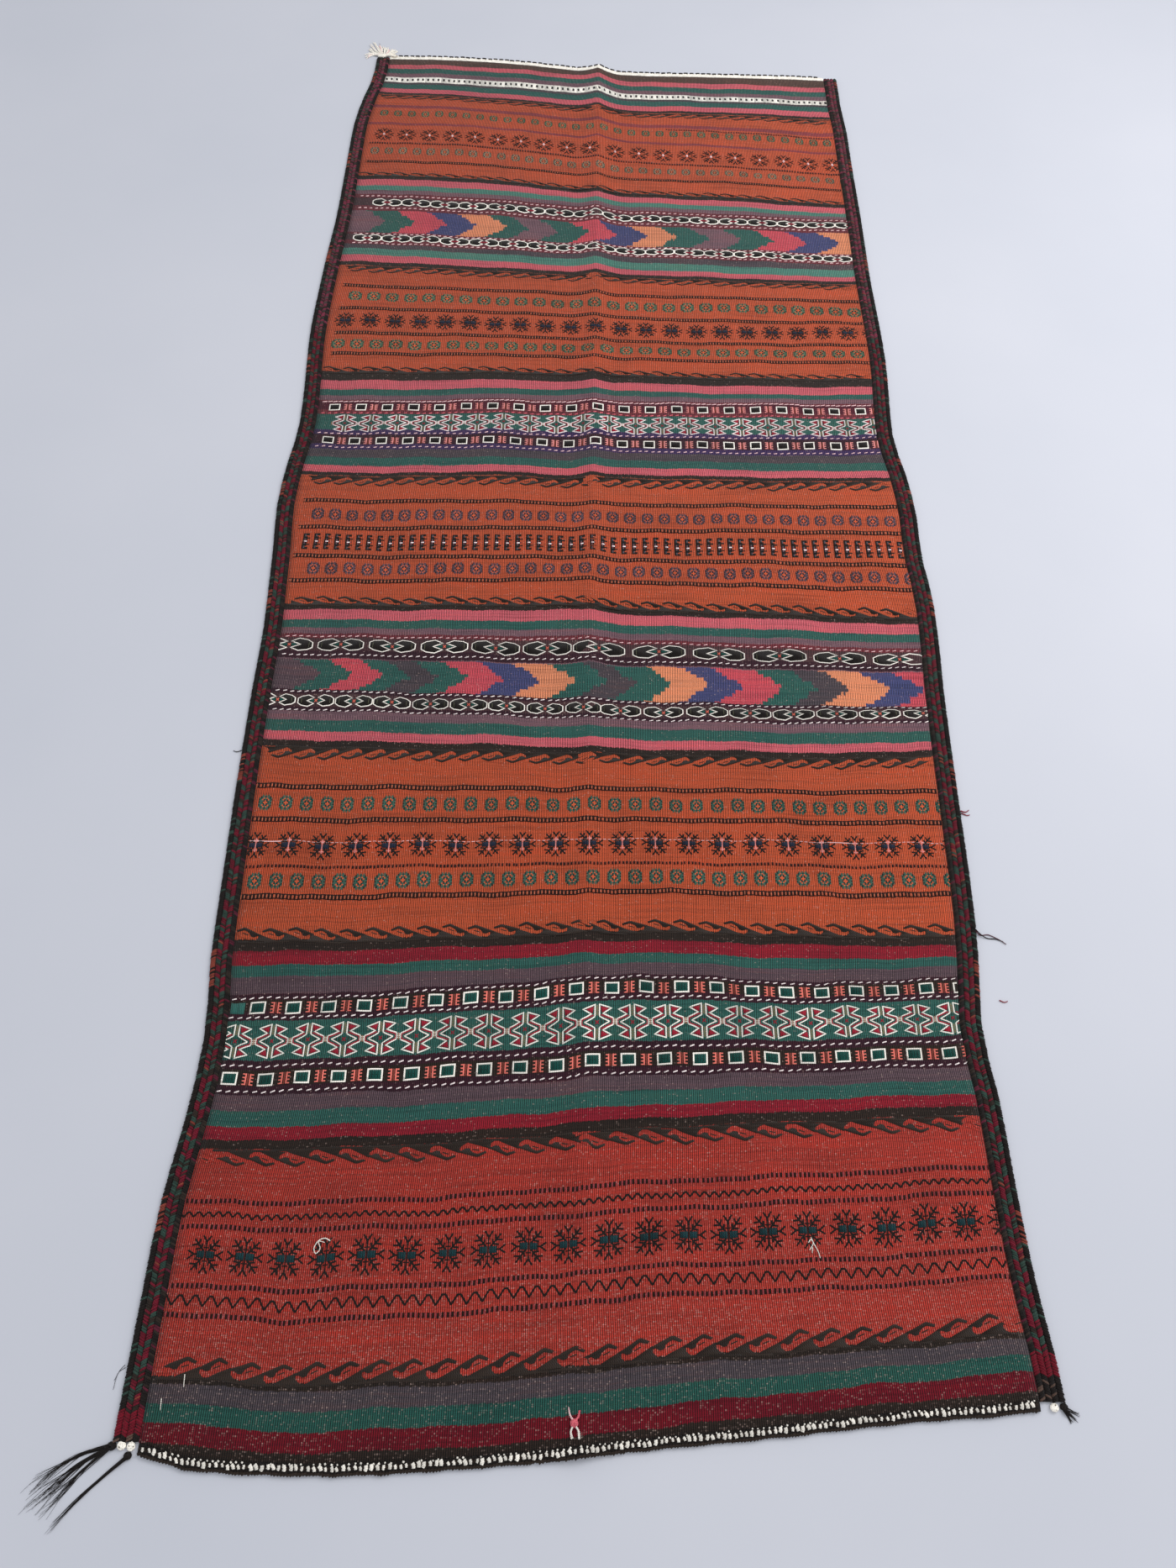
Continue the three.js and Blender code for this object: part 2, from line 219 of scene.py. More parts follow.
dyes = {
    "rust": (209, 94, 58),
    "redRust": (188, 65, 54),
    "pink": (230, 110, 122),
    "crimson": (154, 32, 50),
    "deepCrimson": (118, 18, 36),
    "green": (54, 108, 99),
    "duskGreen": (44, 98, 88),
    "paleGreen": (88, 148, 132),
    "mauve": (134, 102, 112),
    "duskMauve": (106, 86, 94),
    "greyMauve": (88, 80, 86),
    "brownGrey": (96, 74, 64),
    "darkBrown": (50, 40, 34),
    "nearBlack": (30, 24, 22),
    "ivory": (255, 248, 236),
    "palePink": (246, 204, 204),
    "plum": (122, 52, 62),
    "plumBrown": (84, 58, 62),
    "wine": (92, 30, 48),
    "violet": (72, 52, 100),
    "nightWine": (62, 30, 44),
    "salmon": (226, 112, 92),
    "nightNavy": (36, 44, 62),
    "deepGreen": (18, 74, 66),
    "greySage": (122, 116, 98),
    "wheelGreen": (60, 94, 80),
    "olive": (110, 112, 86),
    "tan": (150, 112, 90),
    "brick": (134, 62, 50),
    "chainBrown": (36, 17, 14),
    "deepTeal": (22, 58, 62),
    "dustyRed": (142, 66, 76),
    "bindingRed": (112, 22, 40),
    "bindingGreen": (50, 72, 63),
    "farBindingRed": (128, 50, 70),
    "farBindingGrey": (76, 68, 64),
    "shadeMauve": (52, 36, 40),
    "arrowCoral": (255, 162, 118),
    "arrowRose": (226, 90, 104),
    "dashWhite": (254, 240, 236),
    "slit": (182, 112, 84),
    "streakLight": (214, 128, 92),
    "streakDark": (150, 92, 84),
    "paleWarp": (238, 204, 190),
    "salmonPink": (238, 150, 144),
    "wheelSage": (84, 108, 86),
    "wheelMauve": (92, 72, 80),
    "shadeGreen": (30, 50, 46),
    "shadeSage": (46, 48, 38),
    "paleStripe": (156, 70, 76),
    "combSalmon": (240, 126, 112),
    "arrowNavy": (78, 84, 132),
}


def dyed(name, alpha=1.0):
    def linear(level):
        level /= 255
        return level / 12.92 if level <= 0.04045 else ((level + 0.055) / 1.055) ** 2.4

    return tuple(linear(level) for level in dyes[name]) + (alpha,)


class NodeWork:
    # one node tree under construction; every node comes from the method node
    def __init__(self, tree):
        self.nodes = tree.nodes
        self.links = tree.links

    def feed(self, socket, value):
        value = getattr(value, "socket", value)
        if isinstance(value, bpy.types.NodeSocket):
            self.links.new(value, socket)
        else:
            socket.default_value = value

    def node(self, kind, settings=None, sockets=None, **feeds):
        node = self.nodes.new(kind)
        for name, value in (settings or {}).items():
            setattr(node, name, value)
        named = {name.replace("_", " "): value for name, value in feeds.items()}
        for place, value in {**(sockets or {}), **named}.items():
            self.feed(node.inputs[place], value)
        return node


class Term:
    # a number inside a material, which takes part in Python sums
    def __init__(self, finish, socket):
        self.finish = finish
        self.socket = socket

    def maths(self, operation, *others):
        sockets = dict(enumerate((self,) + others))
        node = self.finish.node("ShaderNodeMath", {"operation": operation}, sockets)
        return Term(self.finish, node.outputs[0])

    def __add__(self, other):
        return self.maths("ADD", other)

    __radd__ = __add__

    def __mul__(self, other):
        return self.maths("MULTIPLY", other)

    __rmul__ = __mul__

    def __sub__(self, other):
        return self.maths("SUBTRACT", other)

    def __rsub__(self, other):
        return self.maths("MULTIPLY_ADD", -1.0, other)

    def __truediv__(self, other):
        return self.maths("DIVIDE", other)

    def __gt__(self, other):
        return self.maths("GREATER_THAN", other)

    def __lt__(self, other):
        return self.maths("LESS_THAN", other)

    def sine(self):
        return self.maths("SINE")

    def floor(self):
        return self.maths("FLOOR")

    def size(self):
        return self.maths("ABSOLUTE")

    def kept(self, low, high):
        return self.maths("MAXIMUM", low).maths("MINIMUM", high)


class Finish(NodeWork):
    # one material under construction
    def __init__(self, name):
        self.material = bpy.data.materials.new(name)
        self.material.use_nodes = True
        super().__init__(self.material.node_tree)
        self.nodes.clear()

    def term(self, node, output):
        return Term(self, node.outputs[output])

    def attribute(self, name, output="Vector"):
        return self.term(self.node("ShaderNodeAttribute", {"attribute_name": name}), output)

    def parts(self, name):
        # the three parts of a vector kept on the piece, in millimetres
        node = self.node("ShaderNodeSeparateXYZ", Vector=self.attribute(name))
        return [self.term(node, axis) * 1000.0 for axis in "XYZ"]

    def joined(self, x, y, z=0.0):
        return self.term(self.node("ShaderNodeCombineXYZ", X=x, Y=y, Z=z), "Vector")

    def noise(self, vector, scale=1.0, detail=2.0, roughness=0.5):
        node = self.node(
            "ShaderNodeTexNoise", Vector=vector, Scale=scale, Detail=detail, Roughness=roughness
        )
        return self.term(node, "Fac")

    def scatter(self, *place):
        vector = self.joined(*place)
        return self.term(self.node("ShaderNodeTexWhiteNoise", Vector=vector), "Value")

    def mix(self, factor, first, second, blend="MIX"):
        settings = {"data_type": "RGBA", "blend_type": blend}
        return self.term(self.node("ShaderNodeMix", settings, {0: factor, 6: first, 7: second}), 2)

    def brightened(self, colour, amount):
        return self.mix(1.0, colour, self.joined(amount, amount, amount), "MULTIPLY")

    def bands(self, position, stops):
        # stops are (place, dye name) from low to high; each dye holds up to the next stop
        low, high = stops[0][0] - 1, stops[-1][0] + 1
        node = self.node("ShaderNodeValToRGB", sockets={0: (position - low) / (high - low)})
        ramp = node.color_ramp
        ramp.interpolation = "CONSTANT"
        ramp.elements.remove(ramp.elements[1])
        ramp.elements[0].position = 0
        ramp.elements[0].color = dyed(stops[0][1])
        for place, dye in stops[1:]:
            ramp.elements.new((place - low) / (high - low)).color = dyed(dye)
        return self.term(node, "Color")

    def wool(self, colour, relief, depth, roughness, sheen=0.08):
        bump = self.node("ShaderNodeBump", Strength=1.0, Distance=depth * 0.001, Height=relief)
        shader = self.node(
            "ShaderNodeBsdfPrincipled", Base_Color=colour, Roughness=roughness,
            Normal=self.term(bump, "Normal"), Specular_IOR_Level=0.14,
            Sheen_Weight=sheen, Sheen_Roughness=0.5,
        )
        self.node("ShaderNodeOutputMaterial", Surface=self.term(shader, "BSDF"))
        return self.material


# The flat-woven bands from the ivory end down: each dye reaches down to its place
wovenBands = [
    (1509, "brownGrey"), (1490, "pink"), (1471, "green"), (1453, "mauve"), (1428, "ivory"),
    (1419, "greyMauve"), (1397, "green"), (1380, "pink"), (1370, "darkBrown"), (1325, "rust"),
    (1313, "paleStripe"), (1251, "rust"), (1241, "paleStripe"), (1038, "rust"), (1024, "darkBrown"),
    (1000, "pink"), (981, "paleGreen"), (966, "mauve"), (952, "plum"), (923, "plumBrown"),
    (905, "plum"), (826, "mauve"), (816, "plum"), (796, "plumBrown"), (781, "plum"),
    (767, "greyMauve"), (745, "paleGreen"), (721, "pink"), (705, "darkBrown"),
    (372, "rust"), (347, "darkBrown"), (322, "pink"), (302, "green"), (289, "mauve"),
    (284, "plum"), (260, "wine"), (246, "plum"), (201, "green"), (189, "violet"),
    (163, "nightWine"), (151, "violet"), (127, "greyMauve"), (105, "green"), (87, "pink"),
    (76, "darkBrown"), (-233, "rust"), (-247, "darkBrown"), (-268, "pink"), (-288, "green"),
    (-299, "mauve"), (-310, "plum"), (-337, "plumBrown"), (-353, "nightWine"), (-418, "mauve"),
    (-427, "nightWine"), (-454, "plumBrown"), (-465, "nightWine"), (-484, "mauve"),
    (-503, "green"), (-521, "pink"), (-536, "darkBrown"), (-876, "rust"), (-895, "darkBrown"),
    (-919, "crimson"), (-937, "green"), (-960, "duskMauve"), (-971, "nightWine"),
    (-991, "darkBrown"), (-1003, "nightWine"), (-1060, "green"), (-1073, "nightWine"),
    (-1096, "darkBrown"), (-1109, "nightWine"), (-1131, "duskMauve"), (-1153, "green"),
    (-1173, "crimson"), (-1186, "darkBrown"), (-1471, "redRust"), (-1480, "darkBrown"),
    (-1503, "greyMauve"), (-1525, "duskGreen"), (-1548, "deepCrimson"), (-1600, "darkBrown"),
]

# Two bands of tapestry arrows that point right: where each dye's tip stands
arrowBands = [
    {
        "middle": 866.0, "half": 40.0, "slope": 1.15, "step": 7.4,
        "tips": [
            (-490, "mauve"), (-425, "green"), (-353, "arrowRose"), (-285, "arrowNavy"),
            (-221, "arrowCoral"), (-168, "green"), (-102, "mauve"), (-33, "green"),
            (32, "arrowRose"), (98, "arrowNavy"), (163, "arrowCoral"), (235, "green"),
            (308, "mauve"), (380, "green"), (453, "arrowRose"), (526, "arrowNavy"),
            (640, "arrowCoral"),
        ],
    },
    {
        "middle": -386.0, "half": 32.5, "slope": 1.5, "step": 6.2,
        "tips": [
            (-478, "duskMauve"), (-423, "green"), (-372, "arrowRose"), (-323, "green"),
            (-274, "greyMauve"), (-225, "green"), (-164, "arrowRose"), (-104, "arrowNavy"),
            (-39, "arrowCoral"), (14, "green"), (63, "greyMauve"), (126, "green"),
            (186, "arrowCoral"), (245, "arrowNavy"), (312, "arrowRose"), (373, "green"),
            (428, "greyMauve"), (496, "arrowCoral"), (555, "arrowNavy"), (700, "arrowRose"),
        ],
    },
]

fieldLook = {
    "ribPitch": 2.85, "pickPitch": 1.5,
    "arrowCell": 52.0, "arrowNudge": 10.0,
    "warmStreaks": 2.3, "warmClouds": 1.3, "ribShadeStreaks": 0.42, "streaks": 0.45,
    "specks": 0.07, "nearSpecks": 0.38, "endSpecks": 0.26, "nearFrom": 1150.0, "endFrom": 1470.0,
    "relief": 1.1, "rough": 0.82,
}
ribPitch = fieldLook["ribPitch"]


def joinedBands(finish, position, stops, most=28):
    # one run of bands, however long, made of ramps that take over from each other
    colour = finish.bands(position, stops[:most])
    for start in range(most, len(stops), most):
        further = finish.bands(position, stops[start:start + most])
        colour = finish.mix(position > stops[start][0], colour, further)
    return colour


def warpSpecks(finish, warp, weft, crown, share):
    # pale warp peeping out between the picks, one chance for each crossing
    row = weft / 2.3
    cell = (warp / ribPitch).floor()
    chance = finish.scatter(cell, row.floor()) < share
    window = (row.maths("FRACT") - 0.5).size() < 0.36
    bright = finish.scatter(cell, row.floor(), 5.0)
    strong = bright.maths("POWER", 7.0)
    return chance * window * (crown > 0.5) * (0.05 + bright * 0.10 + strong * 0.17)


def ribbed(finish, warp):
    # the height of the weft over its warps, from a narrow valley to a broad crown
    wave = (warp * (math.tau / ribPitch)).sine()
    return wave, (wave * 0.5 + 0.5).maths("POWER", 0.6)


def fieldWool():
    # the woven field: bands and arrows, then streaks, painted shade of ribs and picks, painted
    # light that makes the right side lighter, and pale specks of warp
    look = fieldLook
    finish = Finish("field wool")
    warp, weft, x = finish.parts("weave")
    rib, crown = ribbed(finish, warp)
    pick = (weft * (math.tau / look["pickPitch"]) + rib * 1.4).sine()
    drift = finish.noise(finish.joined(x * 0.011, weft * 0.011), detail=3.0)
    ragged = finish.scatter((warp / ribPitch).floor(), (weft / 30.0).floor())
    edge = weft + rib * 0.5 + (drift - 0.5) * 3.0 + (ragged - 0.5) * 1.4

    colour = joinedBands(finish, edge, wovenBands[::-1])
    for arrows in arrowBands:
        away = ((edge - arrows["middle"]).size() / arrows["step"]).floor()
        side = edge > arrows["middle"]
        nudge = finish.scatter(away, side, (x / look["arrowCell"]).floor()) * look["arrowNudge"]
        reach = x + away * (arrows["step"] * arrows["slope"]) + nudge
        tips = arrows["tips"]
        starts = [-700] + [place for place, dye in tips[:-1]]
        inside = (edge - arrows["middle"]).size() < arrows["half"]
        filling = finish.bands(reach, [(s, dye) for s, (place, dye) in zip(starts, tips)])
        colour = finish.mix(inside, colour, filling)

    streak = finish.noise(finish.joined(x * 0.005, weft * 0.30), 1.0, 3.0, 0.65)
    cloud = finish.noise(finish.joined(x * 0.010, weft * 0.02, 7.0))
    fibre = finish.noise(finish.joined(warp * 0.9, weft * 0.5), 1.0, 2.0, 0.7)
    warmth = (streak - 0.5) * look["warmStreaks"] + (cloud - 0.5) * look["warmClouds"]
    warmth = warmth.kept(-0.5, 0.5)
    warm, cold = (warmth + 0.12).kept(0.0, 1.0) * 0.5, (0.08 - warmth).kept(0.0, 1.0) * 0.6
    colour = finish.mix(warm, colour, dyed("streakLight"), "OVERLAY")
    colour = finish.mix(cold, colour, dyed("streakDark"), "MULTIPLY")
    # painted shade: random streaks along the warp, lighter and darker, stand in for the shade of
    # ribs too fine to show
    ribShadeStreaks = finish.noise(finish.joined(warp * 0.21, weft * 0.005, 11.0), 1.0, 2.0, 0.6)
    uneven = 1.0 + (ribShadeStreaks - 0.5) * look["ribShadeStreaks"] + (streak - 0.5) * look["streaks"]
    sideLitAndUneven = (1.0 + x * 0.00016) * uneven  # painted light: the colour grows lighter towards the right, where the light falls stronger
    # painted shade: crown darkens the colour in the valleys between ribs, pick in the dips between
    # picks; fibre is the wool's own random tone
    shade = (0.06 + crown * 1.08 + (fibre - 0.5) * 0.7 + pick * 0.07) * sideLitAndUneven
    colour = finish.brightened(colour, shade)
    nearPart = ((weft + look["nearFrom"]) / -350.0).kept(0.0, 1.0)
    endPart = ((weft + look["endFrom"]) / -12.0).kept(0.0, 1.0)
    share = look["specks"] + nearPart * look["nearSpecks"] + (cloud - 0.5) * 0.15
    share = share - endPart * look["endSpecks"]
    colour = finish.mix(warpSpecks(finish, warp, weft, crown, share), colour, dyed("paleWarp"))
    relief = crown * 0.7 + pick * 0.16 + fibre * 0.3
    return finish.wool(colour, relief, look["relief"], look["rough"] + fibre * 0.15)


plyLength = 2.7


def yarnWool(name, gloss=0.8, sheen=0.08, ribShare=0.0, lift=0.0):
    # yarn lying over the weave: its dye, its own random shade, and the turns of its plies, with
    # painted shade between the ply turns and in the rib valleys
    finish = Finish(name)
    dye = finish.attribute("dye", "Color")
    shade = finish.attribute("shade", "Fac")
    along, across, flat = finish.parts("twist")
    warp, weft, x = finish.parts("weave")
    ply = (along * (math.tau / plyLength) + across * 1.6).sine()
    rib, crown = ribbed(finish, warp)
    fibre = finish.noise(finish.joined(x * 0.8, weft * 0.8, 3.0), 1.0, 2.0, 0.7)
    valley = 1.0 - crown
    # painted shade: ply makes the colour lighter and darker along the turns of the plies
    shaded = 0.66 + lift + ply * 0.08 + fibre * 0.5 + (shade - 0.5) * 0.34
    if ribShare:
        # painted shade: darker in the rib valleys, more so on flat patches; the 0.27 makes up the
        # mean
        shaded = shaded - valley * (ribShare + flat * (0.62 - ribShare)) + 0.27
    colour = finish.brightened(dye, shaded)
    return finish.wool(colour, ply * 0.35 + fibre * 0.35 + crown * ribShare, 0.7, gloss, sheen)


def floorMaterial():
    # the plain pale floor, with the faintest cloud in it
    finish = Finish("pale floor")
    place = finish.term(finish.node("ShaderNodeTexCoord"), "Object")
    cloud = finish.noise(place, 1.3, 4.0)
    pale = finish.mix(cloud, (0.56, 0.575, 0.635, 1.0), (0.66, 0.66, 0.71, 1.0))
    return finish.wool(pale, cloud, 0.4, 0.7, 0.0)


fieldMaterial = fieldWool()
brocadeMaterial = yarnWool("brocade wool", 0.85, 0.08, 0.38)
bindingMaterial = yarnWool("binding wool", 0.72)
ivoryMaterial = yarnWool("ivory yarn", lift=0.2)
hemMaterial = yarnWool("hem wool")
hairMaterial = yarnWool("goat hair", 0.42, 0.05)
tieMaterial = yarnWool("tie yarn")
print("stage: materials made")


# Meshes

def setPoints(mesh, name, values):
    # a number, vector or colour at every point
    values = np.asarray(values, dtype=np.float32)
    kind, part = {
        1: ("FLOAT", "value"), 3: ("FLOAT_VECTOR", "vector"), 4: ("FLOAT_COLOR", "color"),
    }[values.size // len(mesh.vertices)]
    if name in mesh.attributes:
        mesh.attributes.remove(mesh.attributes[name])
    mesh.attributes.new(name, kind, "POINT").data.foreach_set(part, values.ravel())


def setWeave(mesh, warp, weft, x):
    setPoints(mesh, "weave", np.stack((warp, weft, x), axis=1) * 0.001)


def pointsOf(mesh):
    flat = np.empty(len(mesh.vertices) * 3)
    mesh.vertices.foreach_get("co", flat)
    return flat.reshape(-1, 3)


def movePoints(mesh, x, y, z):
    mesh.vertices.foreach_set("co", inFrame(x, y, z).ravel())


def dropPoints(mesh, lost):
    work = bmesh.new()
    work.from_mesh(mesh)
    gone = [corner for corner, away in zip(work.verts, lost) if away]
    bmesh.ops.delete(work, geom=gone, context="VERTS")
    work.to_mesh(mesh)
    work.free()


def setBakeMap(mesh, flatPlaces):
    # a plan view of the piece, filling its map
    low = flatPlaces[:, :2].min(0)
    span = flatPlaces[:, :2].max(0) - low
    shares = 0.01 + 0.98 * (flatPlaces[:, :2] - low) / span
    corners = np.empty(len(mesh.loops), dtype=int)
    mesh.loops.foreach_get("vertex_index", corners)
    layer = mesh.uv_layers.new(name="OFBake")
    layer.data.foreach_set("uv", shares[corners].ravel())


def linked(name, mesh, material):
    piece = bpy.data.objects.new(name, mesh)
    bpy.context.scene.collection.objects.link(piece)
    mesh.materials.clear()
    mesh.materials.append(material)
    mesh.polygons.foreach_set("use_smooth", np.ones(len(mesh.polygons), dtype=bool))
    return piece


def finished(piece, node=None):
    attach(piece, "root")
    if node:
        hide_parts(node)
    return piece


def joinedPiece(name, parts, material, node=None):
    # parts are meshes that share their attributes
    pieces = [linked(name, part, material) for part in parts]
    piece = pieces[0]
    with bpy.context.temp_override(
        active_object=piece, object=piece, selected_objects=pieces, selected_editable_objects=pieces
    ):
        bpy.ops.object.join()
    piece.name = name
    piece.data.name = name
    weave = np.empty(len(piece.data.vertices) * 3, dtype=np.float32)
    piece.data.attributes["weave"].data.foreach_get("vector", weave)
    setBakeMap(piece.data, weave.reshape(-1, 3)[:, [2, 1]])
    return finished(piece, node)


def warpOf(x, y):
    # the warp's own place across the cloth, which narrows and widens with it
    left = clothLeft(y)
    return (x - left) / (clothRight(y) - left) * cloth["warpRun"]


def sheetMesh(name, tops, bottoms, columns, rows):
    # a closed sheet between two grids of points
    count = columns * rows
    grid = np.arange(count).reshape(rows, columns)
    quads = np.stack((grid[:-1, :-1], grid[:-1, 1:], grid[1:, 1:], grid[1:, :-1]), axis=-1)
    quads = quads.reshape(-1, 4)
    rim = np.concatenate((grid[0, :-1], grid[:-1, -1], grid[-1, :0:-1], grid[:0:-1, 0]))
    further = np.roll(rim, -1)
    sides = np.stack((rim + count, further + count, further, rim), axis=-1)
    faces = np.concatenate((quads, quads[:, ::-1] + count, sides))
    mesh = bpy.data.meshes.new(name)
    mesh.from_pydata(np.concatenate((tops, bottoms)).tolist(), [], faces.tolist())
    return mesh


# The woven field: a closed sheet on the frame's folds

field = {"creaseColumn": -17.0, "finePitch": 3.5, "finePart": 0.112, "sideColumns": 40, "rows": 330}


def weaveField():
    fine = np.arange(-field["finePart"], field["finePart"], field["finePitch"] / cloth["halfWidth"])
    left = np.linspace(-1, fine[0], field["sideColumns"])[:-1]
    right = np.linspace(fine[-1], 1, field["sideColumns"])[1:]
    shares = np.concatenate((left, fine, right))
    along = np.linspace(0, 1, field["rows"])
    across, up = (part.ravel() for part in np.meshgrid(shares, along))
    x = across * cloth["halfWidth"]
    for settle in range(4):
        y = clothBottom(x) + (clothTop(x) - clothBottom(x)) * up
        side = np.where(across < 0, clothLeft(y), clothRight(y)) - field["creaseColumn"]
        x = field["creaseColumn"] + side * np.abs(across)
    v = y.copy()
    for settle in range(16):
        v += (y - weftLie(x, v)) * 0.8
    tops = inFrame(x, y, topAt(x, y))
    bottoms = inFrame(x, y, topAt(x, y) - cloth["thickness"])
    mesh = sheetMesh("woven_field", tops, bottoms, len(shares), len(along))
    setWeave(mesh, *(np.tile(part, 2) for part in (warpOf(x, y), v, x)))
    setBakeMap(mesh, np.tile(np.stack((across, up), axis=1), (2, 1)))
    return finished(linked("woven_field", mesh, fieldMaterial), "kilim_field")


woven = weaveField()
print("stage: field woven")


# Needlework: the raised yarns of one motif, drawn flat in millimetres

class Needlework:
    def __init__(self):
        self.points = []
        self.faces = []
        self.dyes = []
        self.twists = []

    def add(self, points, faces, dye, twists):
        start = len(self.points)
        self.points += points
        self.faces += [tuple(start + corner for corner in face) for face in faces]
        self.dyes += [dyed(dye)] * len(points)
        self.twists += twists

    def yarn(self, dye, path, width=2.6, rise=1.1, closed=False):
        # a rounded yarn along a path, its sides sunk in the cloth
        count = len(path)
        points, twists, faces = [], [], []
        run = 0.0
        for i, (x, y) in enumerate(path):
            before = path[i - 1] if i or closed else path[i]
            after = path[(i + 1) % count] if i < count - 1 or closed else path[i]
            if i:
                run += math.dist(path[i - 1], path[i])
            first = Vector((x - before[0], y - before[1]))
            second = Vector((after[0] - x, after[1] - y))
            if first.length < 1e-6:
                first = second
            if second.length < 1e-6:
                second = first
            way = first.normalized() + second.normalized()
            way = way.normalized() if way.length > 0.2 else second.normalized()
            stretch = 1 / max(way.dot(first.normalized()), 0.62)
            side = Vector((way.y, -way.x)) * (width / 2 * stretch)
            points += [(x - side.x, y - side.y, -0.3), (x, y, rise), (x + side.x, y + side.y, -0.3)]
            twists += [(run, -width / 2, 0), (run, 0, 0), (run, width / 2, 0)]
        for i in range(count if closed else count - 1):
            a, b = 3 * i, 3 * ((i + 1) % count)
            faces += [(a, a + 1, b + 1, b), (a + 1, a + 2, b + 2, b + 1)]
        if not closed:
            last = 3 * (count - 1)
            faces += [(0, 2, 1), (last, last + 1, last + 2)]
        self.add(points, faces, dye, [tuple(t * 0.001 for t in twist) for twist in twists])

    def patch(self, dye, outline, rise=0.45):
        # a filled shape with its rim sunk in the cloth
        area = sum(
            a[0] * b[1] - b[0] * a[1] for a, b in zip(outline, outline[1:] + outline[:1])
        )
        ring = outline if area > 0 else outline[::-1]
        count = len(ring)
        points = [(x, y, rise) for x, y in ring] + [(x, y, -0.3) for x, y in ring]
        faces = [tuple(range(count))]
        for i in range(count):
            k = (i + 1) % count
            faces.append((i, i + count, k + count, k))
        twists = [(x * 0.001, y * 0.001, 0.001) for x, y, rise in points]
        self.add(points, faces, dye, twists)

    def chart(self, rows, legend, cell, rise=1.0, fat=1.1):
        # rows of knots from the top down; each letter is a dye, a dot is the ground
        wide = len(rows[0]) * cell[0]
        tall = len(rows) * cell[1]
        for r, row in enumerate(rows):
            y = tall / 2 - (r + 0.5) * cell[1]
            start = 0
            while start < len(row):
                stop = start
                while stop < len(row) and row[stop] == row[start]:
                    stop += 1
                if row[start] in legend:
                    x0 = start * cell[0] - wide / 2
                    x1 = stop * cell[0] - wide / 2
                    self.yarn(legend[row[start]], [(x0, y), (x1, y)], cell[1] * fat, rise)
                start = stop

    def unit(self, name):
        mesh = bpy.data.meshes.new(name)
        mesh.from_pydata(self.points, [], self.faces)
        setPoints(mesh, "dye", self.dyes)
        setPoints(mesh, "twist", self.twists)
        return bpy.data.objects.new(name, mesh)


def oneYarn(dye, path, width, rise):
    work = Needlework()
    work.yarn(dye, path, width, rise)
    return work.unit("yarn")


def turned(points, sx=1, sy=1):
    return [(x * sx, y * sy) for x, y in points]


def fine(path, most=5.0):
    # the same path with no stretch longer than the given one
    full = [path[0]]
    for start, stop in zip(path, path[1:]):
        parts = max(1, math.ceil(math.dist(start, stop) / most))
        for i in range(1, parts + 1):
            t = i / parts
            full.append((start[0] + (stop[0] - start[0]) * t, start[1] + (stop[1] - start[1]) * t))
    return full


# The motifs

def squareMotif(glow, inside):
    work = Needlework()
    work.patch(inside, [(-8.5, -6.5), (8.5, -6.5), (8.5, 6.5), (-8.5, 6.5)])
    for x in (-4.4, 0, 4.4):
        work.yarn("nearBlack", [(x, -4.4), (x, 4.4)], 1.7, 0.9)
    for x in (-2.4, 2.4):
        work.yarn("nearBlack", [(x - 1, 0), (x + 1, 0)], 1.7, 0.9)
    frameLine = fine([(-9.8, -7.8), (9.8, -7.8), (9.8, 7.8), (-9.8, 7.8), (-9.8, -7.8)])
    work.yarn("ivory", frameLine[:-1], 2.9, 1.3, closed=True)
    for side in (-1, 1):
        spine = 26.0 + 3.2 * side
        work.yarn(glow, fine([(spine, -8.2), (spine, 8.2)]), 2.5, 1.2)
        for y in (-7.2, -2.4, 2.4, 7.2):
            work.yarn(glow, [(spine, y), (spine + 4.6 * side, y)], 2.2, 1.1)
    work.patch("brick", [(24.9, -8.4), (27.1, -8.4), (27.1, 8.4), (24.9, 8.4)], 0.3)
    return work.unit("square")


def hexagonMotif(width, height, notch, filling, line=2.8, cross="salmon"):
    # two hexagons that face each other, each with a notch that reaches into its middle
    work = Needlework()
    half = height / 2
    for sx in (1, -1):
        gap = 3.4
        near, far = gap, gap + width
        outline = [
            (near, half * 0.52), (near + width * 0.36, half), (far - width * 0.22, half * 0.8),
            (far, half * 0.42), (far, -half * 0.42), (far - width * 0.22, -half * 0.8),
            (near + width * 0.36, -half), (near, -half * 0.52), (near + notch, 0.0),
        ]
        work.patch("nearBlack", turned(outline, sx), 0.4)
        work.patch(filling, turned([(near, 3.4), (near + notch * 0.7, 0), (near, -3.4)], sx), 0.5)
        work.yarn("olive", turned([(far - 6, -half * 0.4), (far - 6, half * 0.4)], sx), 1.5, 0.8)
        closedLine = fine(outline + outline[:1], 6.0)[:-1]
        work.yarn("ivory", turned(closedLine, sx), line, 1.3, closed=True)
    for sy in (1, -1):
        work.yarn(cross, [(-2.2, -2.4 * sy), (2.2, 2.4 * sy)], 1.9, 1.2)
    return work.unit("hexagons")


